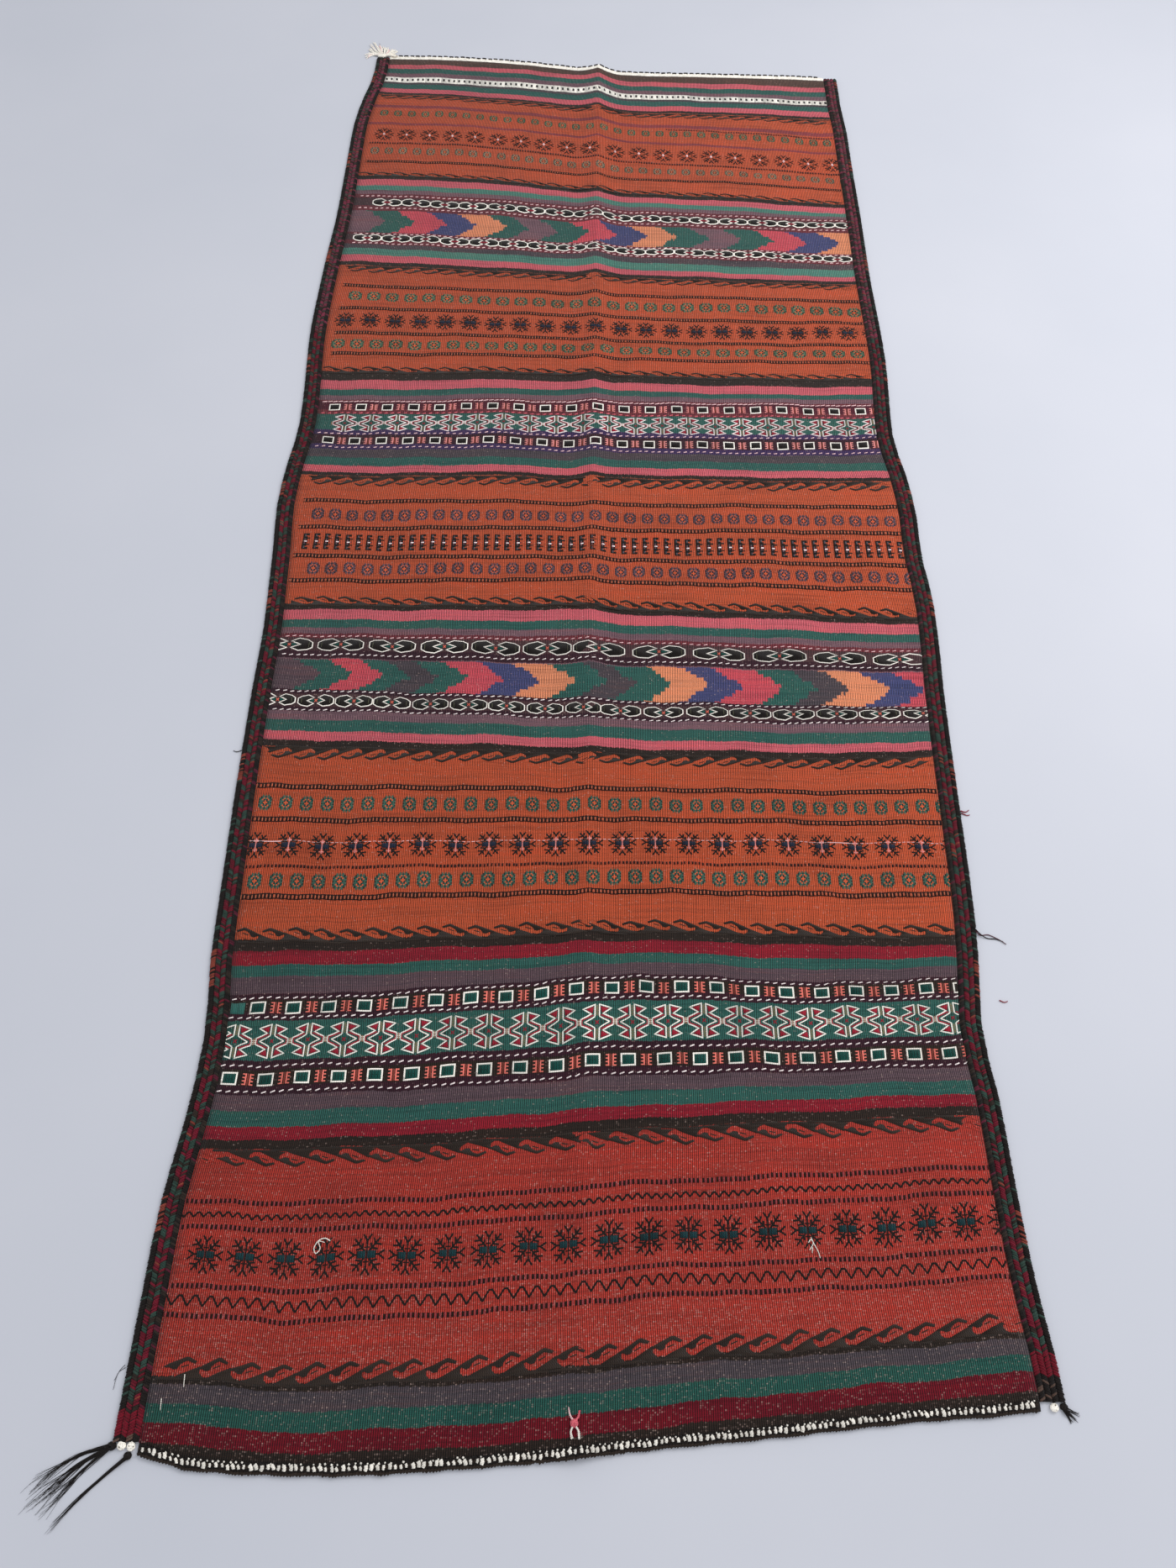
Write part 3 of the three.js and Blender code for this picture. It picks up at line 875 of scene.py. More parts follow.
def hourglassMotif(outline, height, line=2.7):
    # double axes about a spine, with an eye in the middle and a small grid at each side
    work = Needlework()
    k = height / 50.0
    for sx in (1, -1):
        for sy in (1, -1):
            wing = [(5.0, 21.8 * k), (16.5, 18.4 * k), (6.4, 12.4 * k)]
            work.patch("crimson", turned(wing, sx, sy), 0.5)
            strip = [(5.4, 10.0 * k), (12.5, 6.8 * k), (20.8, 3.6 * k), (21.6, 0)]
            work.yarn("crimson", turned(fine(strip), sx, sy), 2.6, 0.9)
            edge = [
                (3.2, 8.2 * k), (3.2, 24.6 * k), (20.2, 18.7 * k), (8.4, 11.6 * k),
                (15.0, 8.0 * k), (23.0, 4.6 * k),
            ]
            work.yarn(outline, turned(fine(edge), sx, sy), line, 1.3)
            eye = [(3.2, 8.0 * k), (9.0, 4.4 * k), (17.8, 0)]
            work.yarn(outline, turned(fine(eye), sx, sy), line * 0.9, 1.2)
            work.yarn("crimson", turned([(0, 0), (2.4, 2.6 * k)], sx, sy), 1.8, 1.0)
            for x in (6.5, 11.0):
                work.yarn("darkBrown", turned([(x, 0.2), (x, 2.4 * k)], sx, sy), 1.5, 0.8)
        work.yarn(outline, turned([(23.2, -4.6 * k), (23.2, 4.6 * k)], sx), 1.5, 1.2)
        work.yarn("tan", turned([(25.6, -4.4 * k), (25.6, 4.4 * k)], sx), 2.6, 0.8)
    for sy in (1, -1):
        work.yarn("olive", turned([(0, 9.0 * k), (0, 24.0 * k)], 1, sy), 3.4, 0.7)
        for y in (12, 16, 20):
            work.yarn("tan", [(-2.2, y * k * sy), (2.2, y * k * sy)], 0.9, 0.9)
    for y in (-2.4, 0, 2.4):
        work.yarn(outline, [(21.5, y), (30.2, y)], 1.1, 1.3)
    return work.unit("hourglass")


def fullChart(quarter):
    # a quarter from the middle out, mirrored to both sides and downwards
    upper = [row[:0:-1] + row for row in quarter]
    return upper + upper[-2::-1]


def starMotif(arms, heart, cross, size=1.15, thick=3.0):
    # eight feathered arms about a heart, with a small cross above and below it
    work = Needlework()
    for sx in (1, -1):
        for sy in (1, -1):
            for path in (
                [(2.4, 3.4), (7.6, 9.4), (13.0, 16.0)], [(8.4, 10.2), (6.8, 15.8)],
                [(8.8, 10.2), (15.0, 9.4)], [(4.8, 6.6), (4.2, 11.0)], [(5.6, 6.0), (11.0, 5.0)],
                [(0.0, 13.2), (4.2, 19.6)], [(12.4, 0.0), (18.6, 4.4)],
            ):
                sized = [(x * sx * size, y * sy * size) for x, y in path]
                work.yarn(arms, fine(sized, 4.0), thick, 1.0)
        work.yarn(arms, [(8.0 * sx * size, 0), (13.0 * sx * size, 0)], thick, 1.0)
        if heart:
            block = [(1.0, -3.6), (9.0, -3.4), (9.0, 3.4), (1.0, 3.6)]
            work.patch(heart, [(x * sx * size, y * size) for x, y in block], 0.7)
            for x in (3.6, 6.6, 9.4):
                work.yarn(arms, [(x * sx * size, -5.0), (x * sx * size, 5.0)], 1.7, 1.1)
    for sy in (1, -1):
        work.yarn(arms, [(0, 10.4 * sy * size), (0, 14.0 * sy * size)], thick, 1.0)
        if heart:
            work.yarn(cross, [(0, 0), (0, 13.0 * sy)], 2.0, 1.3)
            work.yarn(cross, [(-3.6, 8.8 * sy), (3.6, 8.8 * sy)], 2.0, 1.3)
    if not heart:
        work.patch(cross, [(-2.9, 0), (0, -5.2), (2.9, 0), (0, 5.2)], 1.2)
    return work.unit("star")


combRows = [
    "bbbb.", "bnbb.", "bn...", "bbb..", "bbbbb", "bnb..", "bpb..", "bwwp.", "bpb..",
    "bnb..", "bbbbb", "bbb..", "bn...", "bnbb.", "bbbb.",
]


def combMotif():
    work = Needlework()
    legend = {"b": "nearBlack", "n": "greyMauve", "p": "plum", "w": "dashWhite"}
    work.chart(combRows, legend, (2.6, 2.5), fat=1.4)
    return work.unit("comb")


wheelQuarter = ["g.g..", "dggd.", "gsgdg", "gdsgd", "sdggg", "rsdgd"]
wheelShades = {
    "wheelSage": "shadeSage", "greySage": "shadeSage", "wheelGreen": "shadeGreen",
    "wheelMauve": "shadeMauve",
}


def wheelMotif(rim, wide, tall):
    # a round mottled wheel, its heart and a few cells in the ground's dye
    work = Needlework()
    legend = {"g": rim, "d": wheelShades[rim], "s": "rust", "r": "rust"}
    work.chart(fullChart(wheelQuarter), legend, (wide / 9, tall / 11), rise=0.8, fat=1.35)
    return work.unit("wheel")


def hookMotif(sx, sy, tall=21.0):
    # a dark arm over a finger of the ground, its tip turned down; the crest is to the right
    work = Needlework()
    k = tall / 24.5
    arm = [
        (-4, 11.5), (0, 13.5), (8, 17.3), (22.7, 24.5), (26.4, 24.5), (36.4, 19.5), (34.5, 16.6),
        (24.5, 19.8), (20, 17.8), (15.5, 14), (13.2, 8.8), (8.2, 7.7), (2.7, 10.7), (0, 10),
    ]
    wedge = [
        (10, -1.5), (16, 2), (26, 6.8), (36, 11.5), (40, 13.5), (42.5, 10.5), (40.6, 9.5),
        (41, 5), (45, 1.2), (50, -1.5),
    ]
    foot = [(-11, -4), (31, -4), (31, -0.4), (-11, -0.4)]
    for shape, rise in ((foot, 0.3), (wedge, 0.4), (arm, 0.5)):
        work.patch("darkBrown", [((x - 10) * sx, y * k * sy) for x, y in shape], rise)
    eye = [((x - 10) * sx, y * k * sy) for x, y in ((17.5, 11.2), (26, 14.6))]
    work.yarn("darkBrown", eye, 2.4, 0.5)
    return work.unit("hook")


def ladderMotif(pitch, tall):
    # dark rungs between two dark rails, with pale slits
    work = Needlework()
    half = pitch / 2
    rail = tall / 2 - 1.0
    for y in (-rail, rail):
        work.yarn("chainBrown", [(-half, y), (half, y)], 3.0, 0.8)
    work.yarn("slit", [(0, -rail), (0, rail)], pitch * 0.3, 0.6)
    work.yarn("chainBrown", [(half, -tall / 2), (half, tall / 2)], pitch * 0.7, 1.0)
    return work.unit("ladder")


def tickMotif(pitch, tall, between):
    # a run of short dark stitches
    work = Needlework()
    work.yarn("chainBrown", [(0, -tall / 2), (0, tall / 2)], pitch * 0.66, 1.0)
    work.yarn(between, [(pitch / 2, -tall / 2), (pitch / 2, tall / 2)], pitch * 0.28, 0.6)
    return work.unit("tick")


def dashMotif(dye, long=6.4, tall=2.1, climb=1.5):
    path = [(-long / 2, -climb / 2), (0, 0), (long / 2, climb / 2)]
    return oneYarn(dye, path, tall, 1.3)


def zigzagMotif(pitch, tall):
    high, low = (pitch * 0.1, tall * 0.45), (pitch / 2, -tall / 2)
    path = [(-low[0], low[1]), (-high[0], high[1]), high, low]
    return oneYarn("nearBlack", fine(path, 4.0), 3.3, 1.1)


def dropMotif():
    return oneYarn("nearBlack", [(0, -4.4), (0.4, -1.0), (0, 4.4)], 8.0, 1.2)


def patchMotif(dye, wide, tall):
    # a plain oblong of inlaid wool
    work = Needlework()
    x, y = wide / 2, tall / 2
    work.patch(dye, fine([(-x, -y), (x, -y), (x, y), (-x, y), (-x, -y)], 6.0)[:-1], 0.3)
    return work.unit("patch")


def lineMotif(dye, long, wide):
    # a long stitch along the weft
    return oneYarn(dye, fine([(-long / 2, 0), (long / 2, 0)], 6.0), wide, 1.1)


print("stage: motifs drawn")


# Geometry Nodes: one tree sets a unit out in a row

class Tree(NodeWork):
    # a Geometry Nodes tree with named inputs
    def __init__(self, name, inputs):
        self.group = bpy.data.node_groups.new(name, "GeometryNodeTree")
        super().__init__(self.group)
        self.names = {}
        for label, kind in inputs.items():
            kind = "NodeSocket" + kind
            socket = self.group.interface.new_socket(label, in_out="INPUT", socket_type=kind)
            self.names[label] = socket.identifier
        self.group.interface.new_socket("Row", in_out="OUTPUT", socket_type="NodeSocketGeometry")
        self.given = self.node("NodeGroupInput").outputs

    def maths(self, operation, first, second):
        sockets = {0: first, 1: second}
        return self.node("ShaderNodeMath", {"operation": operation}, sockets).outputs[0]

    def between(self, low, high, offset):
        # a random number for each unit of the row
        seed = self.maths("ADD", self.given["Seed"], float(offset))
        sockets = {2: low, 3: high, "Seed": seed}
        return self.node("FunctionNodeRandomValue", {"data_type": "FLOAT"}, sockets).outputs[1]

    def within(self, label, offset):
        most = self.given[label]
        return self.between(self.maths("MULTIPLY", most, -1.0), most, offset)


def rowTree():
    tree = Tree("row of units", {
        "Unit": "Object", "Start": "Vector", "Step": "Vector", "Count": "Int", "Wander": "Float",
        "Turn": "Float", "Swell": "Float", "Seed": "Int", "Wool": "Material",
    })
    given = tree.given
    places = tree.node(
        "GeometryNodeMeshLine", {"mode": "OFFSET"}, Count=given["Count"],
        Start_Location=given["Start"], Offset=given["Step"],
    )
    drift = tree.node(
        "ShaderNodeCombineXYZ", X=tree.within("Wander", 1), Y=tree.within("Wander", 2)
    )
    moved = tree.node(
        "GeometryNodeSetPosition", Geometry=places.outputs[0], Offset=drift.outputs[0]
    )
    unit = tree.node(
        "GeometryNodeObjectInfo", {"transform_space": "ORIGINAL"}, Object=given["Unit"]
    )
    placed = tree.node(
        "GeometryNodeInstanceOnPoints", Points=moved.outputs[0],
        Instance=unit.outputs["Geometry"], Scale=tree.maths("ADD", tree.within("Swell", 4), 1.0),
        Rotation=tree.node("ShaderNodeCombineXYZ", Z=tree.within("Turn", 3)).outputs[0],
    )
    shaded = tree.node(
        "GeometryNodeStoreNamedAttribute", {"data_type": "FLOAT", "domain": "INSTANCE"},
        Geometry=placed.outputs[0], Name="shade", Value=tree.between(0.0, 1.0, 5),
    )
    real = tree.node("GeometryNodeRealizeInstances", Geometry=shaded.outputs[0])
    dressed = tree.node(
        "GeometryNodeSetMaterial", Geometry=real.outputs[0], Material=given["Wool"]
    )
    tree.node("NodeGroupOutput", sockets={0: dressed.outputs[0]})
    return tree


rows = rowTree()


def setOut(unit, start, step, count, wool, wander=0.5, turn=0.02, swell=0.03, seed=1):
    # a row of one unit as a flat mesh
    holder = bpy.data.objects.new("row", bpy.data.meshes.new("row"))
    bpy.context.scene.collection.objects.link(holder)
    modifier = holder.modifiers.new("row", "NODES")
    modifier.node_group = rows.group
    values = {
        "Unit": unit, "Start": start, "Step": step, "Count": count, "Wander": wander,
        "Turn": turn, "Swell": swell, "Seed": seed, "Wool": wool,
    }
    for label, value in values.items():
        modifier[rows.names[label]] = value
    graph = bpy.context.evaluated_depsgraph_get()
    mesh = bpy.data.meshes.new_from_object(
        holder.evaluated_get(graph), preserve_all_data_layers=True, depsgraph=graph
    )
    bpy.data.objects.remove(holder)
    return mesh


def hold(unit):
    # a unit has to stand in the scene while its row is set out
    bpy.context.scene.collection.objects.link(unit)
    return unit


def trimmed(mesh):
    # what reaches past the cloth's own sides goes under the binding
    flat = pointsOf(mesh)
    y = weftAt(flat[:, 0], flat[:, 1])
    over = np.maximum(clothLeft(y) - flat[:, 0], flat[:, 0] - clothRight(y))
    if over.max() > 1.5:
        dropPoints(mesh, over > 1.5)
        flat = pointsOf(mesh)
        y = weftAt(flat[:, 0], flat[:, 1])
        flat[:, 0] = np.clip(flat[:, 0], clothLeft(y), clothRight(y))
    return flat


def laidRow(unit, v, first, pitch, last=612, **more):
    # a row of one unit along a weft, from its first place to the right side
    count = int((last - first) // pitch) + 1
    mesh = setOut(unit, (first, v, 0), (pitch, 0, 0), count, brocadeMaterial, **more)
    x, v, rise = trimmed(mesh).T
    y = weftAt(x, v)
    setWeave(mesh, warpOf(x, y), v, x)
    movePoints(mesh, x, y, topAt(x, y) + rise)
    return mesh


def brocade(name, band):
    # all the rows of one band as one piece
    meshes = [
        laidRow(hold(unit), *places, seed=31 * i + len(name), **more)
        for i, (unit, places, more) in enumerate(band)
    ]
    piece = joinedPiece(name, meshes, brocadeMaterial)
    for unit, places, more in band:
        bpy.data.objects.remove(unit)
    print("stage: brocade", name, len(piece.data.polygons))


# The rows of each band. A row is a unit, its weft, its first place across and its pitch,
# and then how much the units wander, turn or swell where that differs.

def row(unit, v, first, pitch, **more):
    return unit, (v, first, pitch), more


def dashes(v, dye="palePink", *shape, first=-556, pitch=12.6):
    return row(dashMotif(dye, *shape), v, first, pitch)


def ladders(v, pitch, tall=9.3):
    return row(ladderMotif(pitch, tall), v, -cloth["halfWidth"], pitch)


def ticks(v, pitch, tall, between, first=-cloth["halfWidth"]):
    return row(tickMotif(pitch, tall, between), v, first, pitch)


def zigzags(v, pitch, tall):
    return row(zigzagMotif(pitch, tall), v, -555, pitch, wander=0.2, turn=0.0, swell=0.0)


brocadeBands = {
    "brocade_ivory_drops": [
        row(patchMotif("ivory", 20.2, 22.5), 1440.5, -560, 20.0, wander=0.1, turn=0.0, swell=0.0),
        row(dropMotif(), 1441, -560, 13.0, turn=0.12),
    ],
    "brocade_far_rust": [
        row(hookMotif(-1, -1, 14.0), 1368, -521, 38.9),
        ticks(1308, 6.0, 4.0, "plum", first=150),
        row(wheelMotif("wheelSage", 19.0, 25.0), 1292, -537.8, 33.5),
        row(starMotif("chainBrown", None, "palePink", 1.25, 3.9), 1202, -530, 55.0, last=-30),
        row(starMotif("chainBrown", None, "palePink", 1.25, 3.9), 1202, 25, 57.0),
        ticks(1167, 6.0, 6.4, "brick"),
        row(wheelMotif("greySage", 20.0, 27.0), 1137, -545.4, 33.5),
        ladders(1094, 5.7, 8.0),
        row(hookMotif(-1, 1, 15.0), 1037, -545.5, 40.0),
    ],
    "brocade_far_stripe": [
        dashes(960),
        row(hexagonMotif(28.0, 24.0, 8.0, "crimson", 3.6, "crimson"), 937, -495.6, 65.7),
        dashes(915),
        dashes(821),
        row(hexagonMotif(28.0, 24.0, 8.0, "crimson", 3.6, "crimson"), 806, -528, 65.3),
        dashes(787),
    ],
    "brocade_upper_rust": [
        row(hookMotif(-1, -1, 18.0), 704, -527, 39.6),
        ladders(640, 5.9),
        row(wheelMotif("wheelSage", 28.0, 29.0), 607, -531.5, 39.5),
        ladders(568, 5.9),
        row(starMotif("nearBlack", "nightNavy", "nearBlack", 1.2, 3.8), 530, -544.9, 53.0),
        ladders(491, 5.9),
        row(wheelMotif("wheelSage", 28.0, 29.0), 457, -551, 40.0),
        ladders(428, 5.9),
        row(hookMotif(-1, 1, 18.0), 371, -545.8, 39.6),
    ],
    "brocade_middle_stripe": [
        dashes(286, "palePink", 9.0, 1.9, pitch=10.4),
        row(squareMotif("salmonPink", "nearBlack"), 270, -535, 52.6),
        dashes(253, "pink"),
        row(hourglassMotif("dashWhite", 46.0, 2.2), 224, -509.8, 52.4),
        dashes(195),
        row(squareMotif("salmonPink", "nearBlack"), 175, -536.8, 52.4),
        dashes(157),
    ],
    "brocade_middle_rust": [
        row(hookMotif(-1, -1, 20.0), 75, -524.6, 39.4),
        ladders(15, 6.3),
        row(wheelMotif("wheelMauve", 22.0, 29.0), -20, -531.4, 32.5),
        ladders(-52, 6.3),
        row(combMotif(), -87, -544, 19.6),
        ladders(-121, 6.3),
        row(wheelMotif("wheelMauve", 22.0, 29.0), -150, -522.9, 32.9),
        ladders(-178, 6.3),
        row(hookMotif(-1, 1, 18.5), -234, -521, 38.7),
    ],
    "brocade_lower_stripe": [
        dashes(-304, "palePink", 6.5, 1.6, 1.4, first=-548, pitch=12.2),
        row(hexagonMotif(37.0, 26.0, 17.0, "deepGreen", 2.4), -323, -542, 90.0, last=-90),
        row(hexagonMotif(42.0, 26.0, 19.0, "deepGreen", 2.4), -323, -2, 104.5),
        dashes(-344, "dashWhite", 6.5, 2.1, 2.0, first=-548, pitch=12.2),
        dashes(-422, "dashWhite", 6.5, 2.1, 2.0, first=-548, pitch=12.2),
        row(hexagonMotif(27.0, 23.0, 12.0, "deepGreen", 2.4), -441, -545.8, 64.8, last=-20),
        row(hexagonMotif(30.0, 23.0, 13.0, "deepGreen", 2.4), -441, 35, 73.0),
        dashes(-460, "dashWhite", 6.5, 2.1, 2.0, first=-548, pitch=12.2),
    ],
    "brocade_lower_rust": [
        row(hookMotif(-1, -1, 21.0), -536, -514.4, 38.6),
        ladders(-609, 5.9),
        row(wheelMotif("wheelGreen", 21.0, 28.0), -640, -535.8, 33.0),
        ladders(-670, 5.9),
        row(lineMotif("palePink", 64.0, 2.0), -709, -530, 900, wander=0.1),
        row(lineMotif("palePink", 5.0, 1.1), -709, -494, 7.4, wander=0.2),
        row(starMotif("nearBlack", "nightNavy", "salmonPink", 1.15, 3.4), -716, -539.9, 52.5),
        ticks(-753, 5.7, 5.0, "brick"),
        row(wheelMotif("wheelGreen", 21.0, 28.0), -778, -531.5, 32.7),
        ladders(-804.5, 5.7),
        row(hookMotif(-1, 1, 21.0), -877, -519.8, 38.8),
    ],
    "brocade_near_stripe": [
        dashes(-966, "dashWhite", 6.5, 2.2, 2.0),
        row(patchMotif("green", 10.4, 17.0), -981, -549, 10.0, last=-516, wander=0.1, turn=0.0),
        row(squareMotif("combSalmon", "deepGreen"), -981, -495, 51.6),
        dashes(-995.5, "dashWhite", 6.5, 2.2, 2.0),
        row(hourglassMotif("ivory", 50.0, 2.3), -1031, -519.5, 51.9),
        dashes(-1066.5, "dashWhite", 6.5, 2.2, 2.0),
        row(squareMotif("combSalmon", "deepGreen"), -1085, -519.2, 51.3),
        dashes(-1103, "dashWhite", 6.5, 2.2, 2.0),
    ],
    "brocade_near_red": [
        row(hookMotif(1, -1, 19.5), -1187, -545.5, 40.95),
        ticks(-1255, 6.3, 6.0, "dustyRed"),
        zigzags(-1273, 13.0, 6.5),
        ticks(-1289, 6.3, 6.0, "dustyRed"),
        row(starMotif("nearBlack", "deepTeal", "nearBlack", 1.26, 3.3), -1325, -512, 53.0),
        ticks(-1364, 6.3, 6.0, "dustyRed"),
        zigzags(-1382, 20.0, 13.0),
        ticks(-1400, 6.3, 6.0, "dustyRed"),
        row(hookMotif(1, 1, 23.0), -1472, -525.8, 40.7),
    ],
}
for name, band in brocadeBands.items():
    brocade(name, band)


# Side bindings: wool wrapped over four cords

bindings = {
    "left": {
        "seed": 400, "node": "left_binding", "endTurns": (4, 32),
        "rows": leftRows, "outer": leftOuter, "inner": leftInner,
    },
    "right": {
        "seed": 500, "node": "right_binding", "endTurns": (27, 54),
        "rows": rightRows, "outer": rightOuter, "inner": rightInner,
    },
}
winding = {
    "cordWidth": 8.0, "pitch": 3.2, "yarn": 0.47, "stations": 7, "low": 2.6, "high": 3.5,
    "lean": 2.2, "wander": 0.35, "turn": 0.06, "swell": 0.05, "farFrom": 500,
}
bindingWide = 4 * winding["cordWidth"]


def bindingEdges(side, y):
    # the outer and inner edges of a binding at places y along the runner
    facts = bindings[side]
    return [np.interp(y, facts["rows"], facts[edge]) for edge in ("outer", "inner")]


def wrapUnit(slant):
    # one turn of wool over one cord, seen as (inwards, along, height)
    work = Needlework()
    points, faces, twists = [], [], []
    stations = winding["stations"]
    reach = winding["pitch"] * winding["yarn"]
    for i in range(stations):
        angle = math.pi * i / (stations - 1)
        inward = -winding["cordWidth"] / 2 * math.cos(angle) * 1.03
        height = winding["low"] + winding["high"] * math.sin(angle)
        along = slant * math.cos(angle)
        for k in (-1, 0, 1):
            points.append((inward, along + k * reach, height - (1.1 if k else 0)))
            twists.append((inward * 0.001, k * 0.0016, 0.0))
    for i in range(stations - 1):
        a, b = 3 * i, 3 * (i + 1)
        faces += [(a, b, b + 1, a + 1), (a + 1, b + 1, b + 2, a + 2)]
    work.add(points, faces, "darkBrown", twists)
    return hold(work.unit("wrap"))


def wrapDyes(side, cord, y, lean, rng):
    # which wool each turn is, by cord (0 outermost) and place along the runner
    far = y > winding["farFrom"]  # the far part is wound in paler wool
    chance = rng.random(len(y))
    if cord in (1, 2):
        red, period = np.where(far, 10.0, 17.0), np.where(far, 16.0, 29.0)
        sway = 6 * np.sin(y / 71 + cord) + 4 * np.sin(y / 23)
        phase = np.mod(y + lean + 14.5 * (cord == 2) + sway + 4 * chance, period)
        warm = np.where(far, "farBindingRed", "bindingRed")
        cool = np.where(far, "farBindingGrey", "bindingGreen")
        names = np.where(phase < red, warm, cool)
        names = np.where(chance < 0.22, "darkBrown", names)
        names = np.where(chance > 0.97, "brick", names)
    elif cord == 3:
        phase = np.mod(y + lean + 5 * chance, 23.0)
        names = np.where(phase < 19, "nearBlack", np.where(far, "farBindingRed", "wine"))
        names = np.where(chance < 0.3, "darkBrown", names)
    else:
        warm = np.sin(y / 53 + lean) + 0.5 * np.sin(y / 19) > 0.85
        names = np.where(warm & (chance < 0.5), "brick", "nearBlack")
        names = np.where(chance > 0.9, "bindingGreen", names)
    fromEnd = y - y.min()
    dark, red = bindings[side]["endTurns"]
    names = np.where(fromEnd < red, "deepCrimson", names)
    return np.where(fromEnd < dark, np.where(chance < 0.3, "brownGrey", "nearBlack"), names)


def bindingCore(side):
    # the cords that the wool is wound on, closed below
    rows = bindings[side]["rows"]
    stations = np.append(np.arange(rows[0] + 1, rows[-1] - 1, 22.0), rows[-1] - 1)
    profile = []
    for i in range(25):
        share = i / 24
        lobe = abs(math.sin(math.pi * share * 4))
        profile.append((share * 31.2 + 0.4, 2.2 + 2.6 * lobe ** 0.7))
    profile += [(31.6, 0.05), (0.4, 0.05)]
    points = []
    for y in stations:
        outer, inner = bindingEdges(side, y)
        points += [(outer + (inner - outer) * s / bindingWide, y, z) for s, z in profile]
    return points, len(profile), len(stations)


def tubeFaces(around, along, reverse):
    # the faces of a tube with both ends closed
    faces = []
    for i in range(along - 1):
        for k in range(around):
            a, b = i * around + k, i * around + (k + 1) % around
            face = (a, b, b + around, a + around)
            faces.append(face if reverse else face[::-1])
    start, end = tuple(range(around)), tuple(range((along - 1) * around, along * around))
    faces += [start[::-1], end] if reverse else [start, end[::-1]]
    return faces


def settle(mesh, x, y, z, mirrored=False):
    # a row moved to its place on the edge, its faces still outwards
    setWeave(mesh, x, y, x)
    if mirrored:
        mesh.flip_normals()
    movePoints(mesh, x, y, z)
    return mesh


def coreMesh(points, around, along, reverse, dye):
    # a core of plain wool, all one dye
    mesh = bpy.data.meshes.new("core")
    mesh.from_pydata(points, [], tubeFaces(around, along, reverse))
    for name, value in (("dye", dyed(dye)), ("shade", 0.5), ("twist", (0, 0, 0.001))):
        setPoints(mesh, name, [value] * len(points))
    return settle(mesh, *np.array(points).T)


def windBinding(side):
    facts = bindings[side]
    rng = np.random.default_rng(facts["seed"])
    rows = facts["rows"]
    count = int((rows[-1] - rows[0] - 4) / winding["pitch"])
    parts = [coreMesh(*bindingCore(side), side == "left", "nearBlack")]
    for cord in range(4):
        unit = wrapUnit(winding["lean"] if cord % 2 else -winding["lean"])
        each = len(unit.data.vertices)
        start = (winding["cordWidth"] * (cord + 0.5), rows[0] + 2 + cord * 0.8, 0)
        mesh = setOut(
            unit, start, (0, winding["pitch"], 0), count, bindingMaterial, winding["wander"],
            winding["turn"], winding["swell"], facts["seed"] + cord,
        )
        inward, y, z = pointsOf(mesh).T
        names = wrapDyes(side, cord, y.reshape(-1, each).mean(1), 6.0 * math.sin(cord), rng)
        setPoints(mesh, "dye", np.repeat([dyed(name) for name in names], each, axis=0))
        outer, inner = bindingEdges(side, y)
        x = outer + (inner - outer) * inward / bindingWide
        z = z + 0.25 * np.sin(y / 37 + cord) + (0.3 if cord == 0 else 0)
        parts.append(settle(mesh, x, y, z, side == "right"))
        bpy.data.objects.remove(unit)
    return joinedPiece(
        side + "_wound_binding", parts, bindingMaterial, facts["node"]
    )


windings = [windBinding(side) for side in bindings]
print("stage: bindings wound")


# Ends: a band of ivory wefts at the far end, a twined hem with ivory loops at the near one

def crownHeights(name, stations):
    # the top of an end band at each of its stations
    corners = nodeCorners(name)
    return np.array([corners[np.abs(corners[:, 0] - s) < 0.02, 2].max() for s in stations])


endBands = {
    "ivory": {
        "node": "ivory_end_band", "stations": topColumns, "inner": topInner, "outer": topOuter,
        "wide": 14.0, "core": "ivory", "material": ivoryMaterial, "slot": "ivory_yarn",
    },
    "brown": {
        "node": "brown_end_hem", "stations": bottomColumns, "inner": bottomInner,
        "outer": bottomOuter, "wide": 12.0, "core": "nearBlack", "material": hemMaterial,
        "slot": "hem_wool",
    },
}
for facts in endBands.values():
    facts["crown"] = crownHeights(facts["node"], facts["stations"])


def onEnd(facts, x, out, rise):
    # a place on the end band: along it, outwards from the cloth, and its height over the band
    inner, outer, crown = (
        np.interp(x, facts["stations"], facts[line]) for line in ("inner", "outer", "crown")
    )
    return x, inner + (outer - inner) * out / facts["wide"], crown + rise


def endCore(facts):
    # the band itself, below its stitches
    stations = np.linspace(facts["stations"][0] + 0.5, facts["stations"][-1] - 0.5, 120)
    wide = facts["wide"]
    profile = [(wide * i / 8, -1.3 + 0.8 * math.sin(math.pi * i / 8)) for i in range(9)]
    flat = np.array([(x, s, z) for x in stations for s, z in profile])
    top = np.stack(onEnd(facts, *flat.T), axis=1).reshape(len(stations), 9, 3)
    below = top[:, ::-1].copy()
    below[:, :, 2] = np.maximum(below[:, :, 2] - 2.6, 0.05)
    below[:, 1:-1, 2] = np.minimum(below[:, 1:-1, 2], below[:, :1, 2] + 0.2)
    ring = np.concatenate((top, below), axis=1).reshape(-1, 3)
    outwards = facts["outer"].mean() > 0
    return coreMesh(ring.tolist(), 18, len(stations), not outwards, facts["core"])


